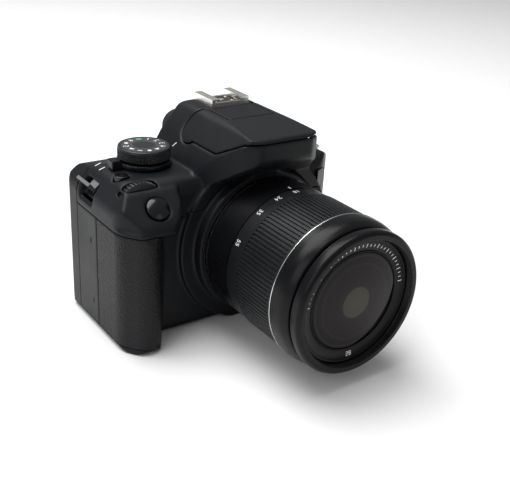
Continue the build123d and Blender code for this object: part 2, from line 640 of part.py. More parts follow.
def mirror_box():
    """Box behind the mount, open to the lens, the shutter and the focusing screen."""
    box = block(-CHEEK_X, CHEEK_X, BOX_FRONT_Y + 1.0, BOX_BACK_Y, BOX_LOW_Z, BOX_HIGH_Z)
    box += rod_y(MOUNT_RING_R - 0.4, BOX_FRONT_Y, BOX_FRONT_Y + 2.6)
    box -= rod_y(THROAT_R, BOX_FRONT_Y - 1, BOX_FRONT_Y + 1.5)
    box -= block(-15.2, 15.2, BOX_FRONT_Y, BOX_BACK_Y + 1, BOX_LOW_Z + 2.0, BOX_HIGH_Z - 2.0)
    box -= block(-13.5, 13.5, -18.0, 2.6, BOX_HIGH_Z - 3.0, BOX_HIGH_Z + 1)
    box -= rod_x(MIRROR_PIN_R + PIVOT_GAP, -16.6, 16.6, MIRROR_Y, MIRROR_Z)
    for angle in MOUNT_SCREW_ANGLES:
        x, z = on_circle(MOUNT_SCREW_AT_R, angle)
        box -= rod_y(SCREW_R + SKIN_GAP, BOX_FRONT_Y - 1, BOX_FRONT_Y + 6, x, z)
    x, z = on_circle(LOCK_PIN_AT_R, 0)
    box -= rod_y(LOCK_PIN_R + SLIP, BOX_FRONT_Y - 1, BOX_FRONT_Y + 6, x, z)
    return box


def mount_ring():
    """Bayonet ring on the front with three inward tabs."""
    ring = rod_y(MOUNT_RING_R, FLANGE_Y, FLANGE_Y + MOUNT_RING_THICK)
    ring -= rod_y(THROAT_R, FLANGE_Y - 1, FLANGE_Y + MOUNT_RING_THICK + 1)
    for angle in TAB_ANGLES:
        ring += sector(TAB_R, THROAT_R + 0.5, FLANGE_Y, FLANGE_Y + TAB_THICK, angle, 50.0)
    for angle in MOUNT_SCREW_ANGLES:
        x, z = on_circle(MOUNT_SCREW_AT_R, angle)
        ring -= rod_y(SCREW_HEAD_R + SKIN_GAP, FLANGE_Y - 1, FLANGE_Y + SCREW_HEAD + 0.1, x, z)
        ring -= rod_y(SCREW_R + SKIN_GAP, FLANGE_Y - 1, FLANGE_Y + MOUNT_RING_THICK + 1, x, z)
    x, z = on_circle(LOCK_PIN_AT_R, 0)
    ring -= rod_y(LOCK_PIN_R + PIVOT_GAP, FLANGE_Y - 1, FLANGE_Y + MOUNT_RING_THICK + 1, x, z)
    return ring


def screws():
    """Four screws in the base and four in the mount ring."""
    group = []
    for x, y in BASE_SCREWS:
        group.append(rod_z(SCREW_HEAD_R, 0.1, SCREW_HEAD, x, y) + rod_z(SCREW_R, 0.5, 6.0, x, y))
    for angle in MOUNT_SCREW_ANGLES:
        x, z = on_circle(MOUNT_SCREW_AT_R, angle)
        head = rod_y(SCREW_HEAD_R, FLANGE_Y + 0.1, FLANGE_Y + SCREW_HEAD, x, z)
        group.append(head + rod_y(SCREW_R, FLANGE_Y + 0.5, FLANGE_Y + MOUNT_RING_THICK + 2.2, x, z))
    return Compound(children=group)


def reflex_mirror():
    """Mirror plate with its hinge pins, down at 45 degrees."""
    plate = block(-MIRROR_X, MIRROR_X, -MIRROR_LENGTH, 0, -MIRROR_THICK / 2, MIRROR_THICK / 2)
    plate += rod_x(MIRROR_PIN_R, -16.4, 16.4, 0, 0)
    return Pos(0, MIRROR_Y, MIRROR_Z) * Rot(45, 0, 0) * plate


def focusing_screen():
    """Ground glass on top of the mirror box."""
    return block(-15.5, 15.5, -19.0, 4.0, BOX_HIGH_Z, BOX_HIGH_Z + 1.5)


def pentamirror():
    """Hollow roof of mirrors over the focusing screen."""
    side = [(3.0, 0.0), (-18.0, 0.0), (-20.0, 6.0), (-12.0, 20.5), (1.0, 22.5), (12.0, 17.0), (12.5, 5.0)]
    face = [(-17.0, 0.0), (-17.0, 12.0), (-8.0, 22.5), (8.0, 22.5), (17.0, 12.0), (17.0, 0.0)]
    base = BOX_HIGH_Z + 1.5
    side = [(y, base + z, 0.0) for y, z in side]
    face = [(x, base + z, 0.0) for x, z in face]
    roof = along_x(side, -25, 25) & along_y(face, -30, 30)
    hollow = along_x(side, -25, 25, 1.5) & along_y(face, -30, 30, 1.5)
    roof -= hollow
    roof -= block(-13.0, 13.0, -16.0, 1.5, base - 1, base + 3)
    roof -= block(-12.0, 12.0, 8.0, 20.0, base + 8.0, base + 16.0)
    return roof


def eyepiece_lens():
    """Finder lens in the window behind the pentamirror."""
    half_z = EYE_WINDOW_Z
    lens = block(-EYE_WINDOW_X, EYE_WINDOW_X, 23.0, 26.0, EYE_Z - half_z, EYE_Z + half_z)
    return lens


def eyecup():
    """Rubber frame round the eyepiece, with a hollow for the eye."""
    corners = [
        (-EYE_X - 1.4, EYE_LOW_Z - 0.5, 5.0),
        (-EYE_X - 1.4, EYE_HIGH_Z + 0.3, 8.0),
        (EYE_X + 1.4, EYE_HIGH_Z + 0.3, 8.0),
        (EYE_X + 1.4, EYE_LOW_Z - 0.5, 5.0),
    ]
    cup = along_y(corners, EYE_BACK_Y, EYECUP_BACK_Y)
    cup -= along_y([(x, z, 5.0) for x, z, _ in corners], EYE_BACK_Y + 3.0, EYECUP_BACK_Y + 1, 2.6)
    cup -= block(-EYE_WINDOW_X, EYE_WINDOW_X, 20, 40, EYE_Z - EYE_WINDOW_Z, EYE_Z + EYE_WINDOW_Z)
    return cup


def shutter_unit():
    """Focal-plane shutter: frame with two stacks of blades."""
    frame = block(-CHEEK_X, CHEEK_X, BOX_BACK_Y, BOX_BACK_Y + 3.6, 21.0, 57.5)
    frame -= block(-12.4, 12.4, BOX_BACK_Y - 1, BOX_BACK_Y + 5, LENS_Z - 8.4, LENS_Z + 8.4)
    blades = [frame]
    for index in range(4):
        low = LENS_Z - 8.4 + index * 4.2
        depth = BOX_BACK_Y + 1.2 + 0.3 * (index % 2)
        blades.append(block(-12.4, 12.4, depth, depth + 0.3, low, low + 4.2))
    return Compound(children=blades)


def image_sensor():
    """Sensor package: carrier, chip and cover glass."""
    carrier = block(-17.0, 17.0, SENSOR_Y + 0.6, BACKPLATE_Y, 27.0, 53.0)
    chip = block(-11.2, 11.2, SENSOR_Y, SENSOR_Y + 0.6, LENS_Z - 7.5, LENS_Z + 7.5)
    glass = block(-13.0, 13.0, SENSOR_Y - 1.4, SENSOR_Y, LENS_Z - 9.5, LENS_Z + 9.5)
    return Compound(children=[carrier, chip, glass])


def main_board():
    """Circuit board on the back of the chassis, with its chips."""
    back = BACKPLATE_Y + 2.8
    board = block(-37.0, 50.0, back, back + 1.4, 5.0, 57.5)
    chips = [
        (-28.0, 16.0, 12.0, 12.0),
        (-6.0, 22.0, 15.0, 15.0),
        (20.0, 30.0, 11.0, 9.0),
        (36.0, 14.0, 9.0, 14.0),
    ]
    group = [board]
    for x, z, wide, tall in chips:
        group.append(block(x, x + wide, back + 1.4, back + 2.6, z, z + tall))
    return Compound(children=group)


def lcd_window():
    """Display: clear window in the back cover and the panel behind it."""
    x0, x1, z0, z1 = SCREEN
    window = block(x0, x1, BACK_Y - SCREEN_THICK, BACK_Y + 0.4, z0, z1)
    back = BACK_Y - WALL - 1.4
    panel = block(x0 - 1.0, x1 + 1.0, back - 2.4, back, z0 - 1.0, z1 + 1.0)
    return Compound(children=[window, panel])


def hot_shoe():
    """Accessory shoe: plate with two lipped rails."""
    x, y0, y1 = 10.3, 1.5, 18.0
    top = HUMP_TOP_Z + 3.8
    shoe = block(-x, x, y0, y1, HUMP_TOP_Z, HUMP_TOP_Z + 0.7)
    for side in (-1, 1):
        wall_x, lip_x = side * x, side * (x - 0.9)
        shoe += block(min(wall_x, lip_x), max(wall_x, lip_x), y0, y1, HUMP_TOP_Z, top)
        lip_in = side * 6.3
        shoe += block(min(wall_x, lip_in), max(wall_x, lip_in), y0, y1, top - 0.9, top)
    shoe += block(-9.6, 9.6, y0, y0 + 0.9, HUMP_TOP_Z, HUMP_TOP_Z + 2.2)
    return shoe


def tripod_bush():
    """Threaded bush of the tripod socket, flanged on the chassis floor."""
    bush = rod_z(BUSH_R, 0, SOCKET_DEPTH + 2.0, 0, 0)
    bush += rod_z(BUSH_FLANGE_R, FLOOR_TOP_Z, FLOOR_TOP_Z + 1.5, 0, 0)
    return bush - rod_z(SOCKET_R, -1, SOCKET_DEPTH, 0, 0)


def battery_pack():
    """Rechargeable pack standing on the battery door."""
    return block(-68.7, -54.0, -22.4, 12.9, DOOR_THICK + 0.1, 51.5)


def side_sockets():
    """Three sockets behind the rubber flap."""
    wall_x = FAR_SIDE_X - FLAP_THICK - RUN
    group = []
    for z, half in SOCKETS:
        low, high = z - half, z + half
        shell = block(wall_x - 4.4, wall_x - 0.3, SOCKET_Y - 2.3, SOCKET_Y + 2.3, low + 0.3, high - 0.3)
        shell += block(wall_x - 4.4, wall_x - 2.4, SOCKET_Y - 3.4, SOCKET_Y + 3.4, low - 0.6, high + 0.6)
        shell -= block(wall_x - 3.8, wall_x + 1, SOCKET_Y - 1.6, SOCKET_Y + 1.6, low + 1.0, high - 1.0)
        group.append(shell)
    return Compound(children=group)


# ---------------------------------------------------------------- controls
def mode_dial():
    """Mode dial with its shaft and the clip under the top cover."""
    low = LEVER_TOP_Z + 0.4
    cap = rod_z(DIAL_R, low, DIAL_TOP_Z, DIAL_X, DIAL_Y)
    cap = chamfer(cap.edges().group_by(Axis.Z)[-1], 0.5)
    shaft = rod_z(SHAFT_R, SHOULDER_Z - WALL - 2.0, low + 1.0, DIAL_X, DIAL_Y)
    clip = rod_z(SHAFT_R + 1.5, SHOULDER_Z - WALL - 1.6, SHOULDER_Z - WALL - 0.4, DIAL_X, DIAL_Y)
    return cap + shaft + clip


def power_lever():
    """Ring under the mode dial with the tab of the power switch."""
    low = SHOULDER_Z + RUN
    ring = rod_z(LEVER_R, low, LEVER_TOP_Z, DIAL_X, DIAL_Y)
    tab = block(DIAL_X - 17.5, DIAL_X - 10.0, DIAL_Y - 3.4, DIAL_Y + 2.0, low + 0.1, LEVER_TOP_Z)
    tab += block(DIAL_X - 17.5, DIAL_X - 13.2, DIAL_Y - 3.4, DIAL_Y + 2.0, low + 0.1, 80.6)
    return (ring + tab) - rod_z(HUB_R + PIVOT_GAP, 70, 90, DIAL_X, DIAL_Y)


def main_dial():
    """Command wheel on its axle in the top cover."""
    wheel = rod_y(WHEEL_R, WHEEL_Y - WHEEL_WIDTH / 2, WHEEL_Y + WHEEL_WIDTH / 2, WHEEL_X, WHEEL_Z)
    reach = WHEEL_WIDTH / 2 + RUN + 1.2
    return wheel + rod_y(AXLE_R, WHEEL_Y - reach, WHEEL_Y + reach, WHEEL_X, WHEEL_Z)


def shutter_button():
    """Domed release button with the collar that keeps it in."""
    button = release_rod(RELEASE_R, -GUIDE_DEPTH - 1.4, 1.2)
    button = fillet(button.edges().filter_by(GeomType.CIRCLE).sort_by(Axis.Z)[-1], 1.1)
    return button + release_rod(RELEASE_R + RELEASE_COLLAR, -GUIDE_DEPTH - 1.4, -GUIDE_DEPTH - RUN)


def flash_button():
    """Key that opens the flash."""
    top = rod_z(FLASH_KEY_R, SHOULDER_Z - WALL - 1.8, SHOULDER_Z + 0.7, FLASH_KEY_X, FLASH_KEY_Y)
    top = fillet(top.edges().group_by(Axis.Z)[-1], 0.5)
    low = SHOULDER_Z - WALL - 1.8
    return top + rod_z(FLASH_KEY_R + 0.45, low, low + 0.9, FLASH_KEY_X, FLASH_KEY_Y)


def back_key(x, z, radius):
    """Round key through the back cover, with the collar inside."""
    collar_back = BACK_Y - WALL - RUN
    collar_front = collar_back - COLLAR_THICK
    key = rod_y(radius, collar_front, BACK_Y + KEY_PROUD, x, z)
    key = fillet(key.edges().group_by(Axis.Y)[-1], 0.4)
    return key + rod_y(radius + KEY_COLLAR, collar_front, collar_back, x, z)


def release_button():
    """Button beside the mount that frees the lens."""
    button = rod_y(LATCH_R, -28.6, -14.0, LATCH_X, LATCH_Z)
    button = fillet(button.edges().group_by(Axis.Y)[0], 0.7)
    return button + rod_y(LATCH_R + 0.6, -15.0, -14.0, LATCH_X, LATCH_Z)


def lock_pin():
    """Pin that stands in the lens and locks its turn."""
    x, z = on_circle(LOCK_PIN_AT_R, 0)
    return rod_y(LOCK_PIN_R, FLANGE_Y - 0.9, BOX_FRONT_Y + 2.0, x, z)


def flash_head():
    """Lifting head of the flash: lid, arms, lamp block and hinge pins."""
    lid = (hump_form() & flash_zone()) - (hump_form(1.8) & lid_hollow())
    half, front, back, bottom = BAY
    lamp = block(-half + 1.0, half - 1.0, front + 0.9, front + 12.0, bottom + 0.7, HUMP_TOP_Z - 3.0)
    lamp -= block(-half + 2.2, half - 2.2, front, front + 3.4, bottom + 1.6, HUMP_TOP_Z - 5.5)
    return lid + (lamp & hump_form(0.6)) + flash_hinge_pins(FLASH_PIN_R)


def lid_hollow():
    """Room hollowed out of the lid between the nose and the hinge arms."""
    return block(-34, 34, NOSE_Y - 1, FLASH_HINGE_Y - FLASH_ARM_R, FLASH_SEAM_Z - 5, HUMP_TOP_Z)


def flash_window():
    """Clear lens of the flash lamp."""
    half, front, back, bottom = BAY
    return block(-half + 2.2, half - 2.2, front + 0.9, front + 3.4, bottom + 1.6, HUMP_TOP_Z - 5.5)


def battery_door():
    """Door in the base with its round hinged edge and pins."""
    x0, hinge, y0, y1 = DOOR
    door = block(x0, hinge, y0, y1, 0, DOOR_THICK) + door_edge()
    reach = DOOR_PIN_REACH
    door += rod_y(DOOR_PIN_R, y0 - reach, y1 + reach, hinge, DOOR_THICK / 2)
    door -= block(x0 - 1, x0 + 9.0, LATCH_Y0 - 0.2, LATCH_Y1 + 0.2, -1, 1.5)
    return door


def door_latch():
    """Sliding latch of the battery door."""
    x0 = DOOR[0]
    latch = block(x0 + 0.2, x0 + 6.6, LATCH_Y0, LATCH_Y1, 0.3, 1.4)
    return latch + block(x0 - 1.2, x0 + 1.0, LATCH_Y0 + 2.0, LATCH_Y1 - 2.0, 0.3, 1.4)


def terminal_cover():
    """Rubber flap over the sockets, with its hinge pins."""
    y0, y1, z0, z1 = FLAP
    half = FLAP_THICK / 2
    flap = block(FAR_SIDE_X - FLAP_THICK, FAR_SIDE_X, y0 + half, y1, z0, z1) + flap_edge()
    reach = FLAP_PIN_REACH
    return flap + rod_z(FLAP_PIN_R, z0 - reach, z1 + reach, FAR_SIDE_X - half, y0 + half)


def dioptric_knob():
    """Knob beside the eyepiece that focuses the finder."""
    side = -EYE_X - 0.3
    knob = rod_x(KNOB_R, side - 1.6, side, KNOB_Y, KNOB_Z)
    return knob + rod_x(KNOB_PIN_R, side - 1.0, -EYE_X + WALL - 0.2, KNOB_Y, KNOB_Z)


# ---------------------------------------------------------------- lens
BARREL_FRONT = FLANGE_Y - BARREL_LENGTH
ZOOM_BACK = BARREL_FRONT - RING_GAP
ZOOM_FRONT = ZOOM_BACK - ZOOM_LENGTH
SLEEVE_BACK = ZOOM_FRONT - RING_GAP
SLEEVE_FRONT = SLEEVE_BACK - SLEEVE_LENGTH
FOCUS_BACK = SLEEVE_FRONT - 0.7
FOCUS_FRONT = FOCUS_BACK - FOCUS_LENGTH
LENS_PLATE = 1.2             # thickness of the lens's metal seat
TUBE_R = GUIDE_R - GUIDE_WALL - 0.05
TUBE_BACK = -62.0
THREAD_END = FOCUS_FRONT + FILTER_DEPTH
NAME_RING_R = FILTER_R - 0.8         # the name ring sits behind the thread in a narrower bore
NAME_SEAT = THREAD_END + 1.8
FRONT_GLASS_R = 26.3


def lens_mount():
    """Metal seat of the lens with its collar and three bayonet lugs."""
    seat = turned(
        (23.8, FLANGE_Y - LENS_PLATE, 0.0),
        (32.2, FLANGE_Y - LENS_PLATE, 0.0),
        (32.2, FLANGE_Y, 0.0),
        (TAB_R - 0.3, FLANGE_Y, 0.0),
        (TAB_R - 0.3, FLANGE_Y + 4.0, 0.0),
        (23.8, FLANGE_Y + 4.0, 0.0),
    )
    for angle in TAB_ANGLES:
        back = FLANGE_Y + TAB_THICK
        seat += sector(24.5, THROAT_R - 0.3, back + 0.1, back + 1.5, angle, 44.0)
    x, z = on_circle(LOCK_PIN_AT_R, 0)
    return seat - rod_y(LOCK_PIN_R + PIVOT_GAP, FLANGE_Y - 1.0, FLANGE_Y + 1.0, x, z)


def lens_barrel():
    """Fixed barrel with the guide tube that carries the rings."""
    wall = GUIDE_R - GUIDE_WALL
    barrel = turned(
        (24.5, FLANGE_Y - LENS_PLATE, 0.0),
        (32.6, FLANGE_Y - LENS_PLATE, 0.0),
        (BARREL_R, FLANGE_Y - LENS_PLATE - 2.0, 0.0),
        (BARREL_R, BARREL_FRONT, 0.0),
        (GUIDE_R, BARREL_FRONT, 0.0),
        (GUIDE_R, SLEEVE_FRONT + 3.0, 0.0),
        (wall, SLEEVE_FRONT + 3.0, 0.0),
        (wall, FLANGE_Y - LENS_PLATE - 2.0, 0.0),
        (24.5, FLANGE_Y - LENS_PLATE - 2.0, 0.0),
    )
    return barrel - block(SWITCH_FLOOR, 40, SWITCH_Y0, SWITCH_Y1, LENS_Z - 3.2, LENS_Z + 3.2)


SWITCH_FLOOR = 31.6
SWITCH_Y0, SWITCH_Y1 = -46.5, -37.5
SWITCH_TRAVEL = 3.0


def af_switch():
    """Slide switch in the pocket of the fixed barrel."""
    y0 = SWITCH_Y0 + RUN
    y1 = SWITCH_Y1 - RUN - SWITCH_TRAVEL
    plate = block(SWITCH_FLOOR, SWITCH_FLOOR + 1.0, y0, y1, LENS_Z - 3.0, LENS_Z + 3.0)
    return plate + block(SWITCH_FLOOR, SWITCH_FLOOR + 3.0, y0 + 1.7, y0 + 3.7, LENS_Z - 3.0, LENS_Z + 3.0)


def zoom_ring():
    """Zoom ring: smooth band at the back and the gripped part."""
    return turned(
        (GUIDE_R + PIVOT_GAP, ZOOM_BACK, 0.0),
        (BARREL_R, ZOOM_BACK, 0.0),
        (BARREL_R, ZOOM_BACK - 7.5, 0.0),
        (ZOOM_R, ZOOM_BACK - 8.5, 0.0),
        (ZOOM_R, ZOOM_FRONT, 0.0),
        (GUIDE_R + PIVOT_GAP, ZOOM_FRONT, 0.0),
    )


def lens_front_sleeve():
    """Front sleeve with a rolled front edge."""
    bore = GUIDE_R + SKIN_GAP
    return turned(
        (bore, SLEEVE_BACK, 0.0),
        (SLEEVE_R - 0.5, SLEEVE_BACK, 0.0),
        (SLEEVE_R, SLEEVE_BACK - 0.5, 0.0),
        (SLEEVE_R, SLEEVE_FRONT, 2.2),
        (TUBE_R + RUN, SLEEVE_FRONT, 0.0),
        (TUBE_R + RUN, SLEEVE_FRONT + 2.7, 0.0),
        (bore, SLEEVE_FRONT + 2.7, 0.0),
    )


def inner_barrel():
    """Moving tube that carries the focus ring."""
    inside = TUBE_R - TUBE_WALL
    return turned(
        (inside, TUBE_BACK, 0.0),
        (TUBE_R, TUBE_BACK, 0.0),
        (TUBE_R, NAME_SEAT + 0.6, 0.0),
        (inside, NAME_SEAT + 0.6, 0.0),
    )


def focus_ring():
    """Focus ring at the front, with the filter thread in its mouth."""
    return turned(
        (TUBE_R + PIVOT_GAP, FOCUS_BACK, 0.0),
        (FOCUS_R, FOCUS_BACK, 0.5),
        (FOCUS_R, FOCUS_FRONT, 1.6),
        (FILTER_R, FOCUS_FRONT, 0.0),
        (FILTER_R, THREAD_END, 0.0),
        (NAME_RING_R + RUN, THREAD_END, 0.0),
        (NAME_RING_R + RUN, NAME_SEAT, 0.0),
        (FRONT_GLASS_R + RUN, NAME_SEAT, 0.0),
        (FRONT_GLASS_R + RUN, NAME_SEAT + 0.4, 0.0),
        (TUBE_R + PIVOT_GAP, NAME_SEAT + 0.4, 0.0),
    )


def name_ring():
    """Sloping ring round the front glass."""
    return turned(
        (GLASS_R + RUN, NAME_SEAT, 0.0),
        (GLASS_R + RUN, NAME_SEAT - 0.5, 0.0),
        (NAME_RING_R, THREAD_END + 0.1, 0.0),
        (NAME_RING_R, NAME_SEAT, 0.0),
    )


def front_lens():
    """Front glass with a domed face."""
    dome = 1.6
    sphere_r = (GLASS_R**2 + dome**2) / (2 * dome)
    cap = Pos(0, NAME_SEAT - dome + sphere_r, LENS_Z) * Sphere(sphere_r)
    face = cap & rod_y(GLASS_R, NAME_SEAT - dome - 1.0, NAME_SEAT + 0.5)
    rim = rod_y(FRONT_GLASS_R, NAME_SEAT, NAME_SEAT + 3.0)
    hollow = Pos(0, NAME_SEAT + 3.0 + sphere_r, LENS_Z) * Sphere(sphere_r + 1.2)
    return (face + rim) - (hollow & rod_y(GLASS_R, NAME_SEAT + 1.0, NAME_SEAT + 4.0))


def rear_lens_group():
    """Cell with the rear glasses, sliding inside the moving tube."""
    rim = TUBE_R - TUBE_WALL - 0.05
    cell = turned(
        (18.3, -82.0, 0.0),
        (rim, -82.0, 0.0),
        (rim, -76.0, 0.0),
        (20.0, -76.0, 0.0),
        (20.0, -70.0, 0.0),
        (18.3, -70.0, 0.0),
    )
    glasses = [cell]
    for y0, y1 in ((-81.0, -78.0), (-73.5, -71.0)):
        glasses.append(rod_y(18.3, y0, y1))
    return Compound(children=glasses)


def write(name, shape):
    """Writes one sub-part."""
    solids = shape.solids()
    export_step(Compound(children=solids) if len(solids) > 1 else solids[0], f"parts/{name}.step")


PARTS = [
    front_cover, rear_cover, top_cover, bottom_cover, grip_rubber, chassis, mirror_box, mount_ring,
    focusing_screen, pentamirror, eyepiece_lens, eyecup, shutter_unit, image_sensor, main_board,
    lcd_window, hot_shoe, tripod_bush, battery_pack, strap_lugs, screws, side_sockets, lens_mount,
    lens_barrel, lens_front_sleeve, mode_dial, power_lever, main_dial, shutter_button, flash_button,
    flash_head, flash_window, release_button, lock_pin, reflex_mirror, battery_door, door_latch,
    terminal_cover, zoom_ring, inner_barrel, focus_ring, name_ring, front_lens, rear_lens_group,
    af_switch, dioptric_knob,
]

if __name__ == "__main__":
    os.makedirs("parts", exist_ok=True)
    for maker in PARTS:
        write(maker.__name__, maker())
    for name, x, z, radius in BACK_KEYS:
        write(name, back_key(x, z, radius))
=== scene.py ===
"""Looks of the digital reflex camera: finishes, detailed pieces, studio and camera."""

import logging
import math
from dataclasses import dataclass, field
from enum import Enum
from typing import Callable, ClassVar

import bmesh
import bpy
from mathutils import Matrix, Vector

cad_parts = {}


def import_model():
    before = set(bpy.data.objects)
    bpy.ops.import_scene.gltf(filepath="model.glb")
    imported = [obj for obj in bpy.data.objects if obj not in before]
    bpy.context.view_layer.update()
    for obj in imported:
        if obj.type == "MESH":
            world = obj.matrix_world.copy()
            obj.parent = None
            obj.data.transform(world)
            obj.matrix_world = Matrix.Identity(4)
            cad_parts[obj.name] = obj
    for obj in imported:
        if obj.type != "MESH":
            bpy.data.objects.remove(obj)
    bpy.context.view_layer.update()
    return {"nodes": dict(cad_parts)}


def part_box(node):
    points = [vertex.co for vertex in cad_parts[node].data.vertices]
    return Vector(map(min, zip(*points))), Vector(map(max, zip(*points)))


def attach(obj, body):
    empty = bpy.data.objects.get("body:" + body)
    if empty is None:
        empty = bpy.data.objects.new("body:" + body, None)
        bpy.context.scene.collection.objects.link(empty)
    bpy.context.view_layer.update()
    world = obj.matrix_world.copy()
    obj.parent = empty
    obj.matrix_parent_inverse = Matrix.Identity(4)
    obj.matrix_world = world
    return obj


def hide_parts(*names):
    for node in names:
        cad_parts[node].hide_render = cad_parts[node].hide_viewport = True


LOG = logging.getLogger("reflex_camera")
MM = 0.001
DUST_COLOUR = (0.32, 0.32, 0.31)
PAINT = 0.04                      # thickness of a printed mark, in millimetres
FIGURE_FACE = 1.35                # font size for each millimetre of a figure's height

Colour = tuple[float, float, float]
Profile = list[tuple[float, float, float]]
Relief = Callable[[float, float, float], float]
Lay = Callable[[float, float, float], Vector]


# ---------------------------------------------------------------- shader effects
class Grain(Enum):
    """Surface that a finish has under the finger."""

    MOULDED = "moulded_grain"
    PEBBLED = "pebbled_skin"
    BRUSHED = "brushed_lines"


class Effects:
    """Shader node groups that the finishes share, each built once."""

    _built: ClassVar[dict[str, bpy.types.NodeTree]] = {}

    @classmethod
    def of(cls, grain: Grain) -> bpy.types.NodeTree:
        """Gives the node group of a grain.

        Args:
            grain: Which surface is wanted.

        Returns:
            The node group, with the outputs Height and Tone.
        """
        makers = {
            Grain.MOULDED: cls._moulded,
            Grain.PEBBLED: cls._pebbled,
            Grain.BRUSHED: cls._brushed,
        }
        if grain.value not in cls._built:
            cls._built[grain.value] = makers[grain](grain.value)
        return cls._built[grain.value]

    @classmethod
    def dust(cls) -> bpy.types.NodeTree:
        """Gives the group that scatters fine dust on faces that look up."""
        if "settled_dust" not in cls._built:
            cls._built["settled_dust"] = cls._dust("settled_dust")
        return cls._built["settled_dust"]

    @staticmethod
    def _open(name: str, inputs: dict[str, float], outputs: list[str]) -> tuple:
        """Starts a node group.

        Args:
            name: Name of the group.
            inputs: Input names with their defaults.
            outputs: Output names.

        Returns:
            The tree, its input node and its output node.
        """
        tree = bpy.data.node_groups.new(name, "ShaderNodeTree")
        for label, value in inputs.items():
            socket = tree.interface.new_socket(label, in_out="INPUT", socket_type="NodeSocketFloat")
            socket.default_value = value
        for label in outputs:
            tree.interface.new_socket(label, in_out="OUTPUT", socket_type="NodeSocketFloat")
        return tree, tree.nodes.new("NodeGroupInput"), tree.nodes.new("NodeGroupOutput")

    @staticmethod
    def _millimetres(tree: bpy.types.NodeTree, stretch: tuple[float, float, float]) -> bpy.types.NodeSocket:
        """Object coordinates in millimetres, stretched along each axis."""
        place = tree.nodes.new("ShaderNodeTexCoord")
        scale = tree.nodes.new("ShaderNodeVectorMath")
        scale.operation = "MULTIPLY"
        scale.inputs[1].default_value = tuple(1000.0 * value for value in stretch)
        tree.links.new(place.outputs["Object"], scale.inputs[0])
        return scale.outputs[0]

    @staticmethod
    def _noise(tree: bpy.types.NodeTree, where: bpy.types.NodeSocket, scale: float | bpy.types.NodeSocket,
               detail: float) -> bpy.types.NodeSocket:
        """Adds a noise texture.

        Args:
            tree: Group that takes the node.
            where: Coordinates.
            scale: Cycles for each millimetre, as a number or a socket.
            detail: Octaves.

        Returns:
            The noise's value.
        """
        noise = tree.nodes.new("ShaderNodeTexNoise")
        noise.inputs["Detail"].default_value = detail
        tree.links.new(where, noise.inputs["Vector"])
        if isinstance(scale, float):
            noise.inputs["Scale"].default_value = scale
        else:
            tree.links.new(scale, noise.inputs["Scale"])
        return noise.outputs[0]

    @staticmethod
    def _spread(tree: bpy.types.NodeTree, value: bpy.types.NodeSocket, low: float, high: float,
                to_low: float = 0.0, to_high: float = 1.0) -> bpy.types.NodeSocket:
        """Maps a value's range to another one and clamps it."""
        node = tree.nodes.new("ShaderNodeMapRange")
        for index, number in zip((1, 2, 3, 4), (low, high, to_low, to_high)):
            node.inputs[index].default_value = number
        tree.links.new(value, node.inputs[0])
        return node.outputs[0]

    @classmethod
    def _moulded(cls, name: str) -> bpy.types.NodeTree:
        """Fine spark-eroded grain of moulded plastic with slow changes of tone."""
        tree, enter, leave = cls._open(name, {"Scale": 3.0}, ["Height", "Tone"])
        where = cls._millimetres(tree, (1.0, 1.0, 1.0))
        fine = cls._noise(tree, where, enter.outputs["Scale"], 3.0)
        slow = cls._noise(tree, where, 0.06, 2.0)
        tree.links.new(fine, leave.inputs["Height"])
        tree.links.new(cls._spread(tree, slow, 0.3, 0.7), leave.inputs["Tone"])
        return tree

    @classmethod
    def _pebbled(cls, name: str) -> bpy.types.NodeTree:
        """Rounded pebbles of moulded rubber with dark joints between them."""
        tree, enter, leave = cls._open(name, {"Scale": 1.2}, ["Height", "Tone"])
        where = cls._millimetres(tree, (1.0, 1.0, 1.0))
        cells = tree.nodes.new("ShaderNodeTexVoronoi")
        cells.feature = "SMOOTH_F1"
        cells.inputs["Smoothness"].default_value = 0.35
        tree.links.new(where, cells.inputs["Vector"])
        tree.links.new(enter.outputs["Scale"], cells.inputs["Scale"])
        tree.links.new(cls._spread(tree, cells.outputs["Distance"], 0.05, 0.75, 1.0, 0.0),
                       leave.inputs["Height"])
        tree.links.new(cls._spread(tree, cells.outputs["Distance"], 0.25, 0.65, 1.0, 0.0),
                       leave.inputs["Tone"])
        return tree

    @classmethod
    def _brushed(cls, name: str) -> bpy.types.NodeTree:
        """Fine lines of brushed or plated metal, along Y."""
        tree, enter, leave = cls._open(name, {"Scale": 4.0}, ["Height", "Tone"])
        where = cls._millimetres(tree, (1.0, 0.04, 1.0))
        lines = cls._noise(tree, where, enter.outputs["Scale"], 4.0)
        tree.links.new(lines, leave.inputs["Height"])
        tree.links.new(cls._spread(tree, lines, 0.35, 0.65), leave.inputs["Tone"])
        return tree

    @classmethod
    def _dust(cls, name: str) -> bpy.types.NodeTree:
        """Specks of dust where the surface looks up."""
        tree, enter, leave = cls._open(name, {"Amount": 0.2}, ["Mask"])
        specks = cls._noise(tree, cls._millimetres(tree, (1.0, 1.0, 1.0)), 1.6, 6.0)
        thin = cls._spread(tree, specks, 0.60, 0.78)
        shape = tree.nodes.new("ShaderNodeNewGeometry")
        parts = tree.nodes.new("ShaderNodeSeparateXYZ")
        tree.links.new(shape.outputs["Normal"], parts.inputs[0])
        up = cls._spread(tree, parts.outputs["Z"], 0.4, 1.0)
        both = tree.nodes.new("ShaderNodeMath")
        both.operation = "MULTIPLY"
        tree.links.new(thin, both.inputs[0])
        tree.links.new(up, both.inputs[1])
        much = tree.nodes.new("ShaderNodeMath")
        much.operation = "MULTIPLY"
        tree.links.new(both.outputs[0], much.inputs[0])
        tree.links.new(enter.outputs["Amount"], much.inputs[1])
        tree.links.new(much.outputs[0], leave.inputs["Mask"])
        return tree


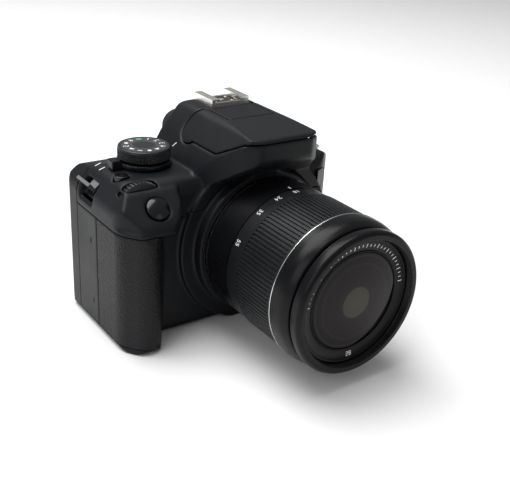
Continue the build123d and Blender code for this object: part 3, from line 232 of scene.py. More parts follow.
# ---------------------------------------------------------------- finishes
@dataclass(frozen=True)
class Surface:
    """What a piece is dressed in, with one material that is built once."""

    name: str

    def material(self) -> bpy.types.Material:
        """Gives the material and builds it the first time."""
        return bpy.data.materials.get(self.name) or self._build()

    def _build(self) -> bpy.types.Material:
        """Builds the node tree."""
        raise NotImplementedError

    def _start(self) -> tuple[bpy.types.Material, bpy.types.Nodes, bpy.types.NodeLinks, bpy.types.Node]:
        """Starts the material.

        Returns:
            The material, its nodes, its links and its Principled shader.
        """
        material = bpy.data.materials.new(self.name)
        material.use_nodes = True
        nodes = material.node_tree.nodes
        return material, nodes, material.node_tree.links, nodes["Principled BSDF"]

    @staticmethod
    def _mixed(nodes: bpy.types.Nodes, links: bpy.types.NodeLinks, low: Colour, high: Colour,
               factor: bpy.types.NodeSocket) -> bpy.types.NodeSocket:
        """Mixes two colours by a factor that changes over the surface."""
        mix = nodes.new("ShaderNodeMix")
        mix.data_type = "RGBA"
        mix.inputs["A"].default_value = (*low, 1.0)
        mix.inputs["B"].default_value = (*high, 1.0)
        links.new(factor, mix.inputs["Factor"])
        return mix.outputs["Result"]


@dataclass(frozen=True)
class Finish(Surface):
    """Opaque finish: plastic, rubber, metal or paint."""

    colour: Colour
    roughness: float
    metallic: float = 0.0
    grain: Grain = Grain.MOULDED
    scale: float = 3.0
    depth_mm: float = 0.02
    tone: float = 0.12
    gloss_change: float = 0.05
    coat: float = 0.0
    dust: float = 0.0
    specular: float = 0.5

    def _build(self) -> bpy.types.Material:
        """Builds the node tree of the finish."""
        material, nodes, links, shader = self._start()
        material.diffuse_color = (*self.colour, 1.0)
        shader.inputs["Metallic"].default_value = self.metallic
        shader.inputs["Coat Weight"].default_value = self.coat
        shader.inputs["Specular IOR Level"].default_value = self.specular
        skin = nodes.new("ShaderNodeGroup")
        skin.node_tree = Effects.of(self.grain)
        skin.inputs["Scale"].default_value = self.scale
        dark = tuple(c * (1 - self.tone) for c in self.colour)
        pale = tuple(min(c * (1 + self.tone), 1.0) for c in self.colour)
        colour = self._mixed(nodes, links, dark, pale, skin.outputs["Tone"])
        if self.dust:
            colour = self._dusted(nodes, links, colour)
        links.new(colour, shader.inputs["Base Color"])
        gloss = nodes.new("ShaderNodeMapRange")
        gloss.inputs[3].default_value = max(self.roughness - self.gloss_change, 0.02)
        gloss.inputs[4].default_value = min(self.roughness + self.gloss_change, 1.0)
        links.new(skin.outputs["Tone"], gloss.inputs[0])
        links.new(gloss.outputs[0], shader.inputs["Roughness"])
        if self.depth_mm:
            bump = nodes.new("ShaderNodeBump")
            bump.inputs["Distance"].default_value = self.depth_mm * MM
            links.new(skin.outputs["Height"], bump.inputs["Height"])
            links.new(bump.outputs[0], shader.inputs["Normal"])
        return material

    def _dusted(self, nodes: bpy.types.Nodes, links: bpy.types.NodeLinks,
                colour: bpy.types.NodeSocket) -> bpy.types.NodeSocket:
        """Lays dust over a colour.

        Args:
            nodes: Nodes of the material.
            links: Links of the material.
            colour: The clean colour.

        Returns:
            The dusted colour.
        """
        dust = nodes.new("ShaderNodeGroup")
        dust.node_tree = Effects.dust()
        dust.inputs["Amount"].default_value = self.dust
        mix = nodes.new("ShaderNodeMix")
        mix.data_type = "RGBA"
        mix.inputs["B"].default_value = (*DUST_COLOUR, 1.0)
        links.new(dust.outputs["Mask"], mix.inputs["Factor"])
        links.new(colour, mix.inputs["A"])
        return mix.outputs["Result"]


@dataclass(frozen=True)
class Glass(Surface):
    """Thin coated glass: a see-through face with its own reflection."""

    colour: Colour
    alpha: float = 0.25
    ior: float = 1.9
    roughness: float = 0.03

    def _build(self) -> bpy.types.Material:
        """Builds the node tree of the glass."""
        material, nodes, links, shader = self._start()
        shader.inputs["Alpha"].default_value = self.alpha
        shader.inputs["IOR"].default_value = self.ior
        shader.inputs["Roughness"].default_value = self.roughness
        skin = nodes.new("ShaderNodeGroup")
        skin.node_tree = Effects.of(Grain.MOULDED)
        dark = tuple(c * 0.8 for c in self.colour)
        colour = self._mixed(nodes, links, dark, self.colour, skin.outputs["Tone"])
        links.new(colour, shader.inputs["Base Color"])
        return material


@dataclass(frozen=True)
class GlassWithPaintedReflections(Surface):
    """Dark coated glass of a lens, with painted reflections: a lighter middle and lighter rings painted round
    the optical axis.
    """

    height: float
    rings: tuple[tuple[float, Colour], ...]
    reach: float = 22.0
    roughness: float = 0.05
    specular: float = 0.15

    def _build(self) -> bpy.types.Material:
        """Builds the node tree: colour by the distance from the optical axis, which paints the reflection
        rings.
        """
        material, nodes, links, shader = self._start()
        shader.inputs["Roughness"].default_value = self.roughness
        shader.inputs["Specular IOR Level"].default_value = self.specular
        place = nodes.new("ShaderNodeTexCoord")
        shift = nodes.new("ShaderNodeVectorMath")
        shift.operation = "SUBTRACT"
        shift.inputs[1].default_value = (0.0, 0.0, self.height * MM)
        links.new(place.outputs["Object"], shift.inputs[0])
        across = nodes.new("ShaderNodeVectorMath")
        across.operation = "MULTIPLY"
        share = 1.0 / (self.reach * MM)
        across.inputs[1].default_value = (share, 0.0, share)
        links.new(shift.outputs[0], across.inputs[0])
        length = nodes.new("ShaderNodeVectorMath")
        length.operation = "LENGTH"
        links.new(across.outputs[0], length.inputs[0])
        ramp = nodes.new("ShaderNodeValToRGB")
        stops = ramp.color_ramp.elements
        stops.remove(stops[1])
        for index, (radius, colour) in enumerate(self.rings):
            stop = stops[0] if index == 0 else stops.new(radius / self.reach)
            stop.position = radius / self.reach
            stop.color = (*colour, 1.0)
        links.new(length.outputs["Value"], ramp.inputs[0])
        links.new(ramp.outputs["Color"], shader.inputs["Base Color"])
        return material


BODY = Finish("matte_body_plastic", (0.0072, 0.0080, 0.0100), 0.44, scale=2.4, depth_mm=0.05,
              dust=0.05, specular=0.19)
FLASH = Finish("flash_lid_plastic", (0.0080, 0.0088, 0.0108), 0.42, scale=2.4, depth_mm=0.045,
               dust=0.05, specular=0.20)
INSIDE = Finish("dark_inside_plastic", (0.005, 0.005, 0.0055), 0.75, depth_mm=0.03, specular=0.2)
RUBBER = Finish("pebbled_grip_rubber", (0.0072, 0.0076, 0.0088), 0.50, grain=Grain.PEBBLED, scale=1.25,
                depth_mm=0.20, tone=0.40, gloss_change=0.08, specular=0.22)
SOFT = Finish("smooth_rubber", (0.010, 0.010, 0.011), 0.62, scale=4.0, depth_mm=0.02, specular=0.3)
CONTROL = Finish("satin_control_plastic", (0.010, 0.0105, 0.012), 0.36, scale=3.5, depth_mm=0.015, dust=0.08)
DIAL_FACE = Finish("dial_face_lacquer", (0.040, 0.044, 0.050), 0.40, scale=5.0, depth_mm=0.01)
GLOSS = Finish("polished_black_plastic", (0.004, 0.004, 0.005), 0.15, depth_mm=0.0, gloss_change=0.03,
               specular=0.4)
LEVER = Finish("lever_black_plastic", (0.004, 0.004, 0.005), 0.30, depth_mm=0.008,
               gloss_change=0.03, specular=0.3)
BARREL = Finish("lens_satin_plastic", (0.0038, 0.0040, 0.0048), 0.30, scale=2.6, depth_mm=0.012,
                dust=0.03, specular=0.17)
RIBS = Finish("zoom_rib_rubber", (0.0065, 0.0070, 0.0084), 0.40, scale=3.0, depth_mm=0.015,
              dust=0.10, specular=0.26)
NAME_RING = Finish("name_ring_plastic", (0.0036, 0.0038, 0.0045), 0.34, scale=3.0, depth_mm=0.008,
                   specular=0.16)
NICKEL = Finish("plated_nickel", (0.86, 0.84, 0.80), 0.30, metallic=1.0, grain=Grain.BRUSHED, depth_mm=0.003,
                tone=0.06)
STEEL = Finish("pressed_steel", (0.58, 0.58, 0.57), 0.36, metallic=1.0, grain=Grain.BRUSHED, depth_mm=0.004,
               tone=0.08)
CHROME = Finish("bright_chrome", (0.80, 0.80, 0.80), 0.14, metallic=1.0, grain=Grain.BRUSHED, depth_mm=0.001,
                tone=0.04, gloss_change=0.03)
BRASS = Finish("turned_brass", (0.72, 0.52, 0.26), 0.28, metallic=1.0, grain=Grain.BRUSHED, depth_mm=0.003)
ALLOY = Finish("cast_alloy", (0.52, 0.53, 0.54), 0.42, metallic=1.0, scale=2.0, depth_mm=0.02)
SILVER_LINE = Finish("silver_line", (0.78, 0.79, 0.80), 0.26, metallic=1.0, grain=Grain.BRUSHED,
                     depth_mm=0.001,
                     tone=0.05)
WHITE = Finish("white_marking_paint", (0.80, 0.81, 0.80), 0.45, depth_mm=0.004, tone=0.04)
GREY_MARK = Finish("grey_marking_paint", (0.42, 0.43, 0.44), 0.45, depth_mm=0.004, tone=0.05)
GREEN_MARK = Finish("green_marking_paint", (0.10, 0.42, 0.16), 0.45, depth_mm=0.004, tone=0.06)
BLUE_MARK = Finish("blue_marking_paint", (0.10, 0.24, 0.55), 0.45, depth_mm=0.004, tone=0.06)
BOARD = Finish("circuit_board", (0.02, 0.16, 0.07), 0.35, scale=1.0, depth_mm=0.03, tone=0.3)
BATTERY = Finish("battery_case", (0.09, 0.09, 0.10), 0.45, depth_mm=0.02)
MIRRORED = Finish("silvered_face", (0.88, 0.88, 0.88), 0.05, metallic=1.0, depth_mm=0.0005, tone=0.02,
                  gloss_change=0.02)
SENSOR = Finish("sensor_filter", (0.02, 0.05, 0.05), 0.08, depth_mm=0.001, coat=0.8)
SCREEN = Finish("display_cover", (0.006, 0.007, 0.009), 0.09, depth_mm=0.001, gloss_change=0.02, coat=0.6)
# The lighter middle and the lighter rings of this glass are painted reflections; the darker rings are its dark
# coated colour.
FRONT_GLASS_PAINTED_REFLECTIONS = GlassWithPaintedReflections("front_glass_painted_reflections", 40.0, (
    (0.0, (0.058, 0.052, 0.036)), (6.9, (0.050, 0.045, 0.032)), (7.4, (0.013, 0.0090, 0.0095)),
    (11.5, (0.010, 0.0062, 0.0070)), (16.8, (0.011, 0.0070, 0.0085)), (17.3, (0.020, 0.015, 0.018)),
    (17.8, (0.010, 0.007, 0.008)), (20.2, (0.007, 0.005, 0.006)), (20.8, (0.020, 0.018, 0.022)),
    (21.4, (0.004, 0.004, 0.004)),
))
LAMP = Glass("flash_lamp_glass", (0.60, 0.62, 0.60), 0.45, 1.5, 0.15)
EYE_GLASS = Glass("eyepiece_glass", (0.020, 0.024, 0.034), 0.35)
FLOOR = Finish("pale_studio_floor", (0.96, 0.96, 0.96), 0.9, scale=0.02, depth_mm=0.001, tone=0.006)

KEY_NODES = (
    "live_view_button", "ae_lock_button", "af_point_button", "exposure_button", "quick_button", "key_up",
    "key_down", "key_left", "key_right", "set_button", "display_button", "menu_button", "play_button",
    "erase_button",
)


# ---------------------------------------------------------------- mesh making
@dataclass(frozen=True)
class Spindle:
    """Line that a turned piece is made round, in millimetres."""

    origin: tuple[float, float, float]
    along: tuple[float, float, float]
    start: tuple[float, float, float]

    def point(self, radius: float, travel: float, angle: float) -> Vector:
        """Gives a point round the spindle.

        Args:
            radius: Distance from the line, in millimetres.
            travel: Distance along it, in millimetres.
            angle: Angle from the start direction, in radians.

        Returns:
            The point in metres.
        """
        along, first = Vector(self.along), Vector(self.start)
        second = along.cross(first)
        spoke = first * math.cos(angle) + second * math.sin(angle)
        return (Vector(self.origin) + along * travel + spoke * radius) * MM


def eased(profile: Profile, steps: int = 4) -> list[tuple[float, float]]:
    """Rounds the corners of a closed profile.

    Args:
        profile: Corners as (radius, travel, easing), in millimetres.
        steps: Segments for each eased corner.

    Returns:
        The eased outline as (radius, travel).
    """
    outline: list[tuple[float, float]] = []
    count = len(profile)
    for index, (u, v, ease) in enumerate(profile):
        corner = Vector((u, v))
        before = Vector(profile[index - 1][:2]) - corner
        after = Vector(profile[(index + 1) % count][:2]) - corner
        reach = min(ease, before.length * 0.49, after.length * 0.49)
        if reach <= 1e-6:
            outline.append((u, v))
            continue
        start, end = corner + before.normalized() * reach, corner + after.normalized() * reach
        for step in range(steps + 1):
            t = step / steps
            point = start * (1 - t) ** 2 + corner * 2 * t * (1 - t) + end * t * t
            outline.append((point.x, point.y))
    return outline


def piece_from(name: str, made: bmesh.types.BMesh, finish: Surface, sharp: float = 38.0) -> bpy.types.Object:
    """Turns a bmesh into a shown piece.

    Args:
        name: Name of the piece.
        made: Its geometry, in metres in the shared frame.
        finish: What it is dressed in.
        sharp: Angle in degrees above which an edge stays sharp.

    Returns:
        The new object.
    """
    bmesh.ops.remove_doubles(made, verts=made.verts, dist=1e-7)
    bmesh.ops.dissolve_degenerate(made, edges=made.edges, dist=1e-8)
    bmesh.ops.recalc_face_normals(made, faces=made.faces)
    mesh = bpy.data.meshes.new(name)
    made.to_mesh(mesh)
    made.free()
    return shown(name, mesh, finish, sharp)


def shown(name: str, mesh: bpy.types.Mesh, finish: Surface, sharp: float = 38.0) -> bpy.types.Object:
    """Puts a mesh in the scene with its finish and smooth shading."""
    mesh.materials.clear()
    mesh.materials.append(finish.material())
    mesh.polygons.foreach_set("use_smooth", [True] * len(mesh.polygons))
    mesh.set_sharp_from_angle(angle=math.radians(sharp))
    piece = bpy.data.objects.new(name, mesh)
    bpy.context.scene.collection.objects.link(piece)
    return piece


def turned(name: str, spindle: Spindle, profile: Profile, finish: Surface, count: int = 192,
           relief: Relief | None = None, steps: int = 4) -> bpy.types.Object:
    """Turns a closed profile round a spindle.

    Args:
        name: Name of the piece.
        spindle: Line that it is turned round.
        profile: Corners as (radius, travel, easing).
        finish: What it is dressed in.
        count: Segments round the spindle.
        relief: Adds to the radius from (angle, radius, travel), for ribs and knurls.
        steps: Segments for each eased corner.

    Returns:
        The new object.
    """
    made = bmesh.new()
    outline = eased(profile, steps)
    rings = []
    for index in range(count):
        angle = 2 * math.pi * index / count
        ring = []
        for radius, travel in outline:
            grown = radius + (relief(angle, radius, travel) if relief else 0.0)
            ring.append(made.verts.new(spindle.point(grown, travel, angle)))
        rings.append(ring)
    size = len(outline)
    for index in range(count):
        near, far = rings[index], rings[(index + 1) % count]
        for row in range(size):
            corners = [near[row], near[(row + 1) % size], far[(row + 1) % size], far[row]]
            made.faces.new(corners)
    return piece_from(name, made, finish)


def slab(made: bmesh.types.BMesh, low: list[bmesh.types.BMVert], high: list[bmesh.types.BMVert]) -> None:
    """Closes two matching outlines into a solid."""
    made.faces.new(low[::-1])
    made.faces.new(high)
    for index in range(len(low)):
        after = (index + 1) % len(low)
        made.faces.new([low[index], low[after], high[after], high[index]])


def domed(span: float, rise: float, edge: float, top: float, steps: int) -> Profile:
    """Gives the profile of a dome, from its edge to its middle.

    Args:
        span: Radius at which the dome has fallen by its rise.
        rise: How far it stands up over that radius.
        edge: Radius where the profile starts.
        top: Travel of its middle.
        steps: Segments of the profile.

    Returns:
        The profile's corners.
    """
    bend = (span ** 2 + rise ** 2) / (2 * rise)
    radii = [edge * (1 - step / steps) for step in range(steps + 1)]
    return [(r, top - bend + math.sqrt(bend ** 2 - r ** 2), 0.0) for r in radii]


def radius_of(node: str) -> float:
    """Gives half of a node's width, in millimetres."""
    low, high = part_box(node)
    return (high.x - low.x) / 2 / MM


def prism(name: str, outline: list[tuple[float, float]], thickness: float, lay: Lay,
          finish: Surface, ease: float = 0.0) -> bpy.types.Object:
    """Makes a thin solid from a flat outline and lays it on a surface.

    Args:
        name: Name of the piece.
        outline: Corners in millimetres, in order.
        thickness: How far it stands up, in millimetres.
        lay: Maps (across, up, height) in millimetres to a point in metres.
        finish: What it is dressed in.
        ease: Bevel of its edges, in millimetres.

    Returns:
        The new object.
    """
    made = bmesh.new()
    low = [made.verts.new((x, y, 0.0)) for x, y in outline]
    high = [made.verts.new((x, y, thickness)) for x, y in outline]
    slab(made, low, high)
    if ease:
        top = [edge for edge in made.edges if all(v.co.z > thickness / 2 for v in edge.verts)]
        bmesh.ops.bevel(made, geom=top, offset=ease, segments=3, affect="EDGES")
    for vert in made.verts:
        vert.co = lay(*vert.co)
    return piece_from(name, made, finish)


def circle(radius: float, count: int = 32, x: float = 0.0, y: float = 0.0) -> list[tuple[float, float]]:
    """Corners of a circle in millimetres."""
    steps = [2 * math.pi * index / count for index in range(count)]
    return [(x + radius * math.cos(a), y + radius * math.sin(a)) for a in steps]


def panel(half_x: float, half_y: float, corner: float, count: int = 5) -> list[tuple[float, float]]:
    """Corners of a rectangle with round corners, in millimetres."""
    outline = []
    for turn, (sx, sy) in enumerate([(1, 1), (-1, 1), (-1, -1), (1, -1)]):
        for step in range(count + 1):
            angle = math.pi / 2 * (turn + step / count)
            x = sx * (half_x - corner) + corner * math.cos(angle)
            outline.append((x, sy * (half_y - corner) + corner * math.sin(angle)))
    return outline


def bar(length: float, width: float) -> list[tuple[float, float]]:
    """Corners of a straight stroke centred on its place, in millimetres."""
    return panel(length / 2, width / 2, min(width, length) * 0.3, 2)


def flat(origin: tuple[float, float, float], across: tuple[float, float, float],
         up: tuple[float, float, float]) -> Lay:
    """Gives the map of a flat face.

    Args:
        origin: Middle of the mark, in millimetres.
        across: Direction of the mark's width.
        up: Direction of the mark's height.

    Returns:
        The map from (across, up, height) to metres.
    """
    right = Vector(across).normalized()
    high = Vector(up)
    high = (high - right * high.dot(right)).normalized()
    out = right.cross(high)

    def lay(x: float, y: float, z: float) -> Vector:
        """Places one point of the mark."""
        return (Vector(origin) + right * x + high * y + out * z) * MM

    return lay


def round_barrel(spindle: Spindle, radius: float, travel: float, angle: float) -> Lay:
    """Gives the map of a barrel's outside, with marks read from behind the camera.

    Args:
        spindle: The barrel's line.
        radius: Its radius in millimetres.
        travel: Place along the line.
        angle: Place round it, in degrees from its start direction.

    Returns:
        The map from (across, up, height) to metres.
    """
    middle = math.radians(angle)

    def lay(x: float, y: float, z: float) -> Vector:
        """Places one point of the mark."""
        return spindle.point(radius + z, travel + y, middle + x / radius)

    return lay


def figures(name: str, text: str, size: float, lay: Lay, finish: Finish) -> bpy.types.Object:
    """Makes printed figures as a thin solid.

    Args:
        name: Name of the piece.
        text: The figures.
        size: Their height in millimetres.
        lay: Where they lie.
        finish: Their paint.

    Returns:
        The new object.
    """
    curve = bpy.data.curves.new(name + "_outline", "FONT")
    curve.body = text
    curve.size = size * FIGURE_FACE
    curve.extrude = PAINT / 2
    curve.resolution_u = 3
    curve.align_x = "CENTER"
    curve.align_y = "CENTER"
    holder = bpy.data.objects.new(name + "_outline", curve)
    bpy.context.scene.collection.objects.link(holder)
    seen = holder.evaluated_get(bpy.context.evaluated_depsgraph_get())
    mesh = bpy.data.meshes.new_from_object(seen)
    bpy.data.objects.remove(holder)
    bpy.data.curves.remove(curve)
    mesh.name = name
    for vert in mesh.vertices:
        x, y, z = vert.co
        vert.co = lay(x, y, z + PAINT / 2)
    return shown(name, mesh, finish)


def fasten(piece: bpy.types.Object, body: str, slot: str, *stands_for: str) -> bpy.types.Object:
    """Rides a piece on its body and hides the nodes that it stands for."""
    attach(piece, body)
    if stands_for:
        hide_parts(*stands_for)
    return piece


def printed(name: str, outline: list[tuple[float, float]], lay: Lay, body: str, slot: str,
            finish: Surface, thickness: float = PAINT, ease: float = 0.0) -> bpy.types.Object:
    """Makes a thin piece from an outline and fastens it to a body.

    Args:
        name: Name of the piece.
        outline: Corners in millimetres.
        lay: Where it lies.
        body: Body that it rides on.
        slot: Material slot; not used.
        finish: What it is dressed in.
        thickness: How far it stands up.
        ease: Bevel of its edges.

    Returns:
        The new object.
    """
    return fasten(prism(name, outline, thickness, lay, finish, ease), body, slot)


def triangle_wave(turns: float) -> float:
    """Rises from 0 to 1 and falls back once for each turn."""
    part = turns % 1.0
    return 1.0 - abs(2.0 * part - 1.0)


# ---------------------------------------------------------------- lens
@dataclass
class Lens:
    """Standard zoom lens: rings, sleeve, glass and marks. Sizes in millimetres."""

    height: float = 40.0
    barrel_r: float = 33.4
    rib_r: float = 33.8
    rib_count: int = 112
    rib_depth: float = 0.55
    band: float = 7.6
    sleeve_r: float = 34.25
    bore_r: float = 31.1
    tube_r: float = 29.91
    thread_r: float = 29.0
    pitch: float = 0.75
    relief_r: float = 28.5
    name_seat_r: float = 26.6
    glass_r: float = 22.0
    glass_rise: float = 1.5
    glass_thick: float = 3.2
    glass_seat_r: float = 22.35
    glass_lip: float = 1.5
    slope_end: float = 0.62
    steps_width: float = 1.55
    steps_drop: float = 0.54
    print_r: float = 25.35
    stroke_count: int = 34
    stroke_first: float = -82.0
    figure_size: float = 2.4
    zoom_figures: tuple[tuple[str, float], ...] = (("18", 0.0), ("24", 17.0), ("35", 35.0), ("55", 63.0))
    spindle: Spindle = field(init=False)

    def __post_init__(self) -> None:
        """Sets the optical axis, which runs forward, with its angles from the top."""
        self.spindle = Spindle((0.0, 0.0, self.height), (0.0, -1.0, 0.0), (0.0, 0.0, 1.0))

    def build(self) -> list[bpy.types.Object]:
        """Builds the lens's pieces and gives them back."""
        pieces = [self._zoom_ring(), self._silver_line(), self._sleeve(), self._focus_ring(),
                                  self._name_ring()]
        pieces += self._glass() + self._marks()
        return pieces

    def _reach(self, node: str) -> tuple[float, float]:
        """Gives a node's nearest and furthest travel along the axis, in millimetres."""
        low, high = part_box(node)
        return -high.y / MM, -low.y / MM

    def _zoom_ring(self) -> bpy.types.Object:
        """Zoom ring with a smooth band and long ribs cut in its grip."""
        back, front = self._reach("zoom_ring")
        start, end = back + self.band + 1.0, front - 0.7

        def ribbed(angle: float, radius: float, travel: float) -> float:
            """Cuts the grooves between the ribs."""
            if radius < self.rib_r - 0.35 or not start <= travel <= end:
                return 0.0
            wave = triangle_wave(angle * self.rib_count / (2 * math.pi))
            return -self.rib_depth * max(0.0, min(1.0, (0.42 - wave) * 5.0))

        rows = [(self.rib_r, start - 0.02, 0.0)]
        rows += [(self.rib_r, start + (end - start) * step / 4, 0.0) for step in range(5)]
        rows += [(self.rib_r, end + 0.02, 0.0)]
        profile: Profile = [
            (self.bore_r, back, 0.0),
            (self.barrel_r, back, 0.3),
            (self.barrel_r, start - 1.0, 0.1),
            (self.rib_r, start - 0.5, 0.2),
            *rows,
            (self.rib_r, front, 0.3),
            (self.bore_r, front, 0.0),
        ]
        ring = turned("zoom_ring_ribbed", self.spindle, profile, RIBS, self.rib_count * 10, ribbed)
        return fasten(ring, "zoom_ring", "lens_plastic", "zoom_ring")

    def _silver_line(self) -> bpy.types.Object:
        """Thin bright line behind the front sleeve."""
        back, radius = self._reach("lens_front_sleeve")[0], self.sleeve_r
        profile: Profile = [
            (radius - 1.4, back, 0.0),
            (radius - 0.35, back, 0.0),
            (radius, back + 0.3, 0.15),
            (radius, back + 0.75, 0.1),
            (radius - 1.4, back + 0.75, 0.0),
        ]
        line = turned("silver_line_ring", self.spindle, profile, SILVER_LINE, 256)
        return fasten(line, "camera_body", "bright_metal")

    def _sleeve(self) -> bpy.types.Object:
        """Front sleeve with its flat band, rounded shoulder and rolled lip."""
        back, front = self._reach("lens_front_sleeve")
        radius = self.sleeve_r
        profile: Profile = [
            (self.bore_r, back + 0.8, 0.0),
            (radius - 0.05, back + 0.8, 0.0),
            (radius - 0.05, back + 4.6, 0.6),
            (radius - 0.45, front - 3.2, 2.0),
            (radius - 1.9, front - 0.3, 1.3),
            (radius - 2.9, front, 0.4),
            (self.tube_r + 0.3, front, 0.2),
            (self.tube_r + 0.3, front - 2.7, 0.0),
            (self.bore_r, front - 2.7, 0.0),
        ]
        sleeve = turned("front_sleeve_rolled", self.spindle, profile, BARREL, 256, steps=6)
        return fasten(sleeve, "camera_body", "lens_plastic", "lens_front_sleeve")

    def _focus_ring(self) -> bpy.types.Object:
        """Focus ring with a waist, a rounded lip and the filter thread in its mouth."""
        back, front = self._reach("focus_ring")
        radius = radius_of("focus_ring")
        thread_r, thread_end, pitch = self.thread_r, front - 3.2, self.pitch
        seat, relief_r, name_seat_r = thread_end - 1.8, self.relief_r, self.name_seat_r
        teeth: Profile = []
        turns = 4
        for index in range(turns):
            near = front - 0.35 - index * pitch * 0.9
            teeth.append((thread_r, near, 0.0))
            teeth.append((thread_r + 0.28, near - pitch * 0.45, 0.0))
        profile: Profile = [
            (self.tube_r, back, 0.0),
            (radius - 0.9, back, 0.3),
            (radius - 0.9, back + 1.3, 0.3),
            (radius, back + 1.9, 0.4),
            (radius, front - 1.3, 0.9),
            (radius - 1.3, front, 0.5),
            (thread_r + 0.3, front, 0.2),
            *teeth,
            (thread_r, thread_end, 0.0),
            (relief_r, thread_end, 0.0),
            (relief_r, seat, 0.0),
            (name_seat_r, seat, 0.0),
            (name_seat_r, seat - 0.4, 0.0),
            (self.tube_r, seat - 0.4, 0.0),
        ]
        ring = turned("focus_ring_lipped", self.spindle, profile, BARREL, 256)
        return fasten(ring, "focus_ring", "lens_plastic", "focus_ring")

    def _name_ring(self) -> bpy.types.Object:
        """Sloping ring round the glass, with fine turned steps and a raised inner lip."""
        back, front = self._reach("name_ring")
        radius, inner = radius_of("name_ring"), self.glass_seat_r
        steps: Profile = []
        count = 3
        for index in range(count):
            r = radius - 0.5 - index * 0.42
            travel = front - 0.05 - index * 0.16
            steps.append((r, travel, 0.0))
            steps.append((r - 0.21, travel - 0.17, 0.0))
        profile: Profile = [
            (radius, back, 0.0),
            (radius, front, 0.1),
            *steps,
            (inner + self.glass_lip, back + self.slope_end, 0.0),
            (inner + 0.8, back + 0.55, 0.1),
            (inner + 0.5, back + 0.95, 0.15),
            (inner + 0.1, back + 0.95, 0.15),
            (inner, back, 0.0),
        ]
        ring = turned("name_ring_stepped", self.spindle, profile, NAME_RING, 256)
        return fasten(ring, "focus_ring", "lens_plastic", "name_ring")

    def _ring_face(self, radius: float) -> float:
        """Gives the travel of the name ring's sloping face at a radius."""
        back, front = self._reach("name_ring")
        outer, inner = radius_of("name_ring") - self.steps_width, self.glass_seat_r + self.glass_lip
        part = (outer - radius) / (outer - inner)
        start, end = front - self.steps_drop, back + self.slope_end
        return start + (end - start) * part

    def _ring_print(self) -> list[bpy.types.Object]:
        """Thread size and the strokes printed round the name ring."""
        middle = self.print_r

        def lay_at(angle: float) -> Lay:
            """Gives the map of the sloping face at an angle from the top, in degrees."""

            def lay(x: float, y: float, z: float) -> Vector:
                """Places one point of the print."""
                radius = middle + y
                turn = math.radians(angle) + x / middle
                return self.spindle.point(radius, self._ring_face(radius) + 0.02 + z, turn)

            return lay

        pieces = []
        size = figures("thread_size_figures", "58", 2.3, lay_at(180.0), WHITE)
        pieces.append(fasten(size, "focus_ring", "lens_plastic"))
        made = bmesh.new()
        span = -2 * self.stroke_first
        for index in range(self.stroke_count):
            lay = lay_at(self.stroke_first + span * index / (self.stroke_count - 1))
            high = 0.95 if index % 3 == 0 else 0.55
            rows = []
            for z in (0.0, PAINT):
                corners = ((-0.17, -high), (0.17, -high), (0.17, high), (-0.17, high))
                rows.append([made.verts.new(lay(x, y, z)) for x, y in corners])
            slab(made, *rows)
        strokes = piece_from("name_ring_strokes", made, WHITE)
        pieces.append(fasten(strokes, "focus_ring", "lens_plastic"))
        return pieces

    def _glass(self) -> list[bpy.types.Object]:
        """Domed front glass in the name ring."""
        seat = self._reach("name_ring")[1] - 1.0
        face = domed(self.glass_r, self.glass_rise, self.glass_r, seat + self.glass_rise, 14)
        rear = [(r, travel - self.glass_thick, ease) for r, travel, ease in reversed(face)]
        glass = turned("front_glass_domed", self.spindle, face + rear, FRONT_GLASS_PAINTED_REFLECTIONS, 192)
        return [fasten(glass, "focus_ring", "optical_glass", "front_lens")]

    def _marks(self) -> list[bpy.types.Object]:
        """Figures of the zoom ring, the zoom index and the mount and switch marks."""
        back = self._reach("zoom_ring")[0]
        pieces = self._ring_print()
        for text, angle in self.zoom_figures:
            lay = round_barrel(self.spindle, self.barrel_r, back + 2.6, angle)
            mark = figures("zoom_figure_" + text, text, self.figure_size, lay, WHITE)
            pieces.append(fasten(mark, "zoom_ring", "lens_plastic"))
        lay = round_barrel(self.spindle, self.barrel_r, back - 2.3, 0.0)
        pieces.append(printed("zoom_index", bar(0.7, 2.2), lay, "camera_body", "lens_plastic", WHITE))
        lay = round_barrel(self.spindle, self.barrel_r - 0.02, back - 13.4, -26.0)
        square = panel(1.1, 1.1, 0.2)
        pieces.append(printed("lens_fitting_mark", square, lay, "camera_body", "lens_plastic", WHITE, 0.05))
        switch_low, switch_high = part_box("af_switch")
        middle = (switch_low.y + switch_high.y) / 2 / MM
        for name, travel in (("near", -middle - 4.6), ("far", -middle + 7.4)):
            lay = round_barrel(self.spindle, self.barrel_r, travel, -78.0)
            stroke = bar(2.2, 0.5)
            pieces.append(printed(f"switch_mark_{name}", stroke, lay, "camera_body", "lens_plastic", WHITE))
        return pieces


# ---------------------------------------------------------------- top controls
class DialMark(Enum):
    """Marks printed on the mode dial."""

    NUMBER = "number"
    RING = "ring"
    PEAK = "peak"
    SQUARE = "square"
    STROKE = "stroke"


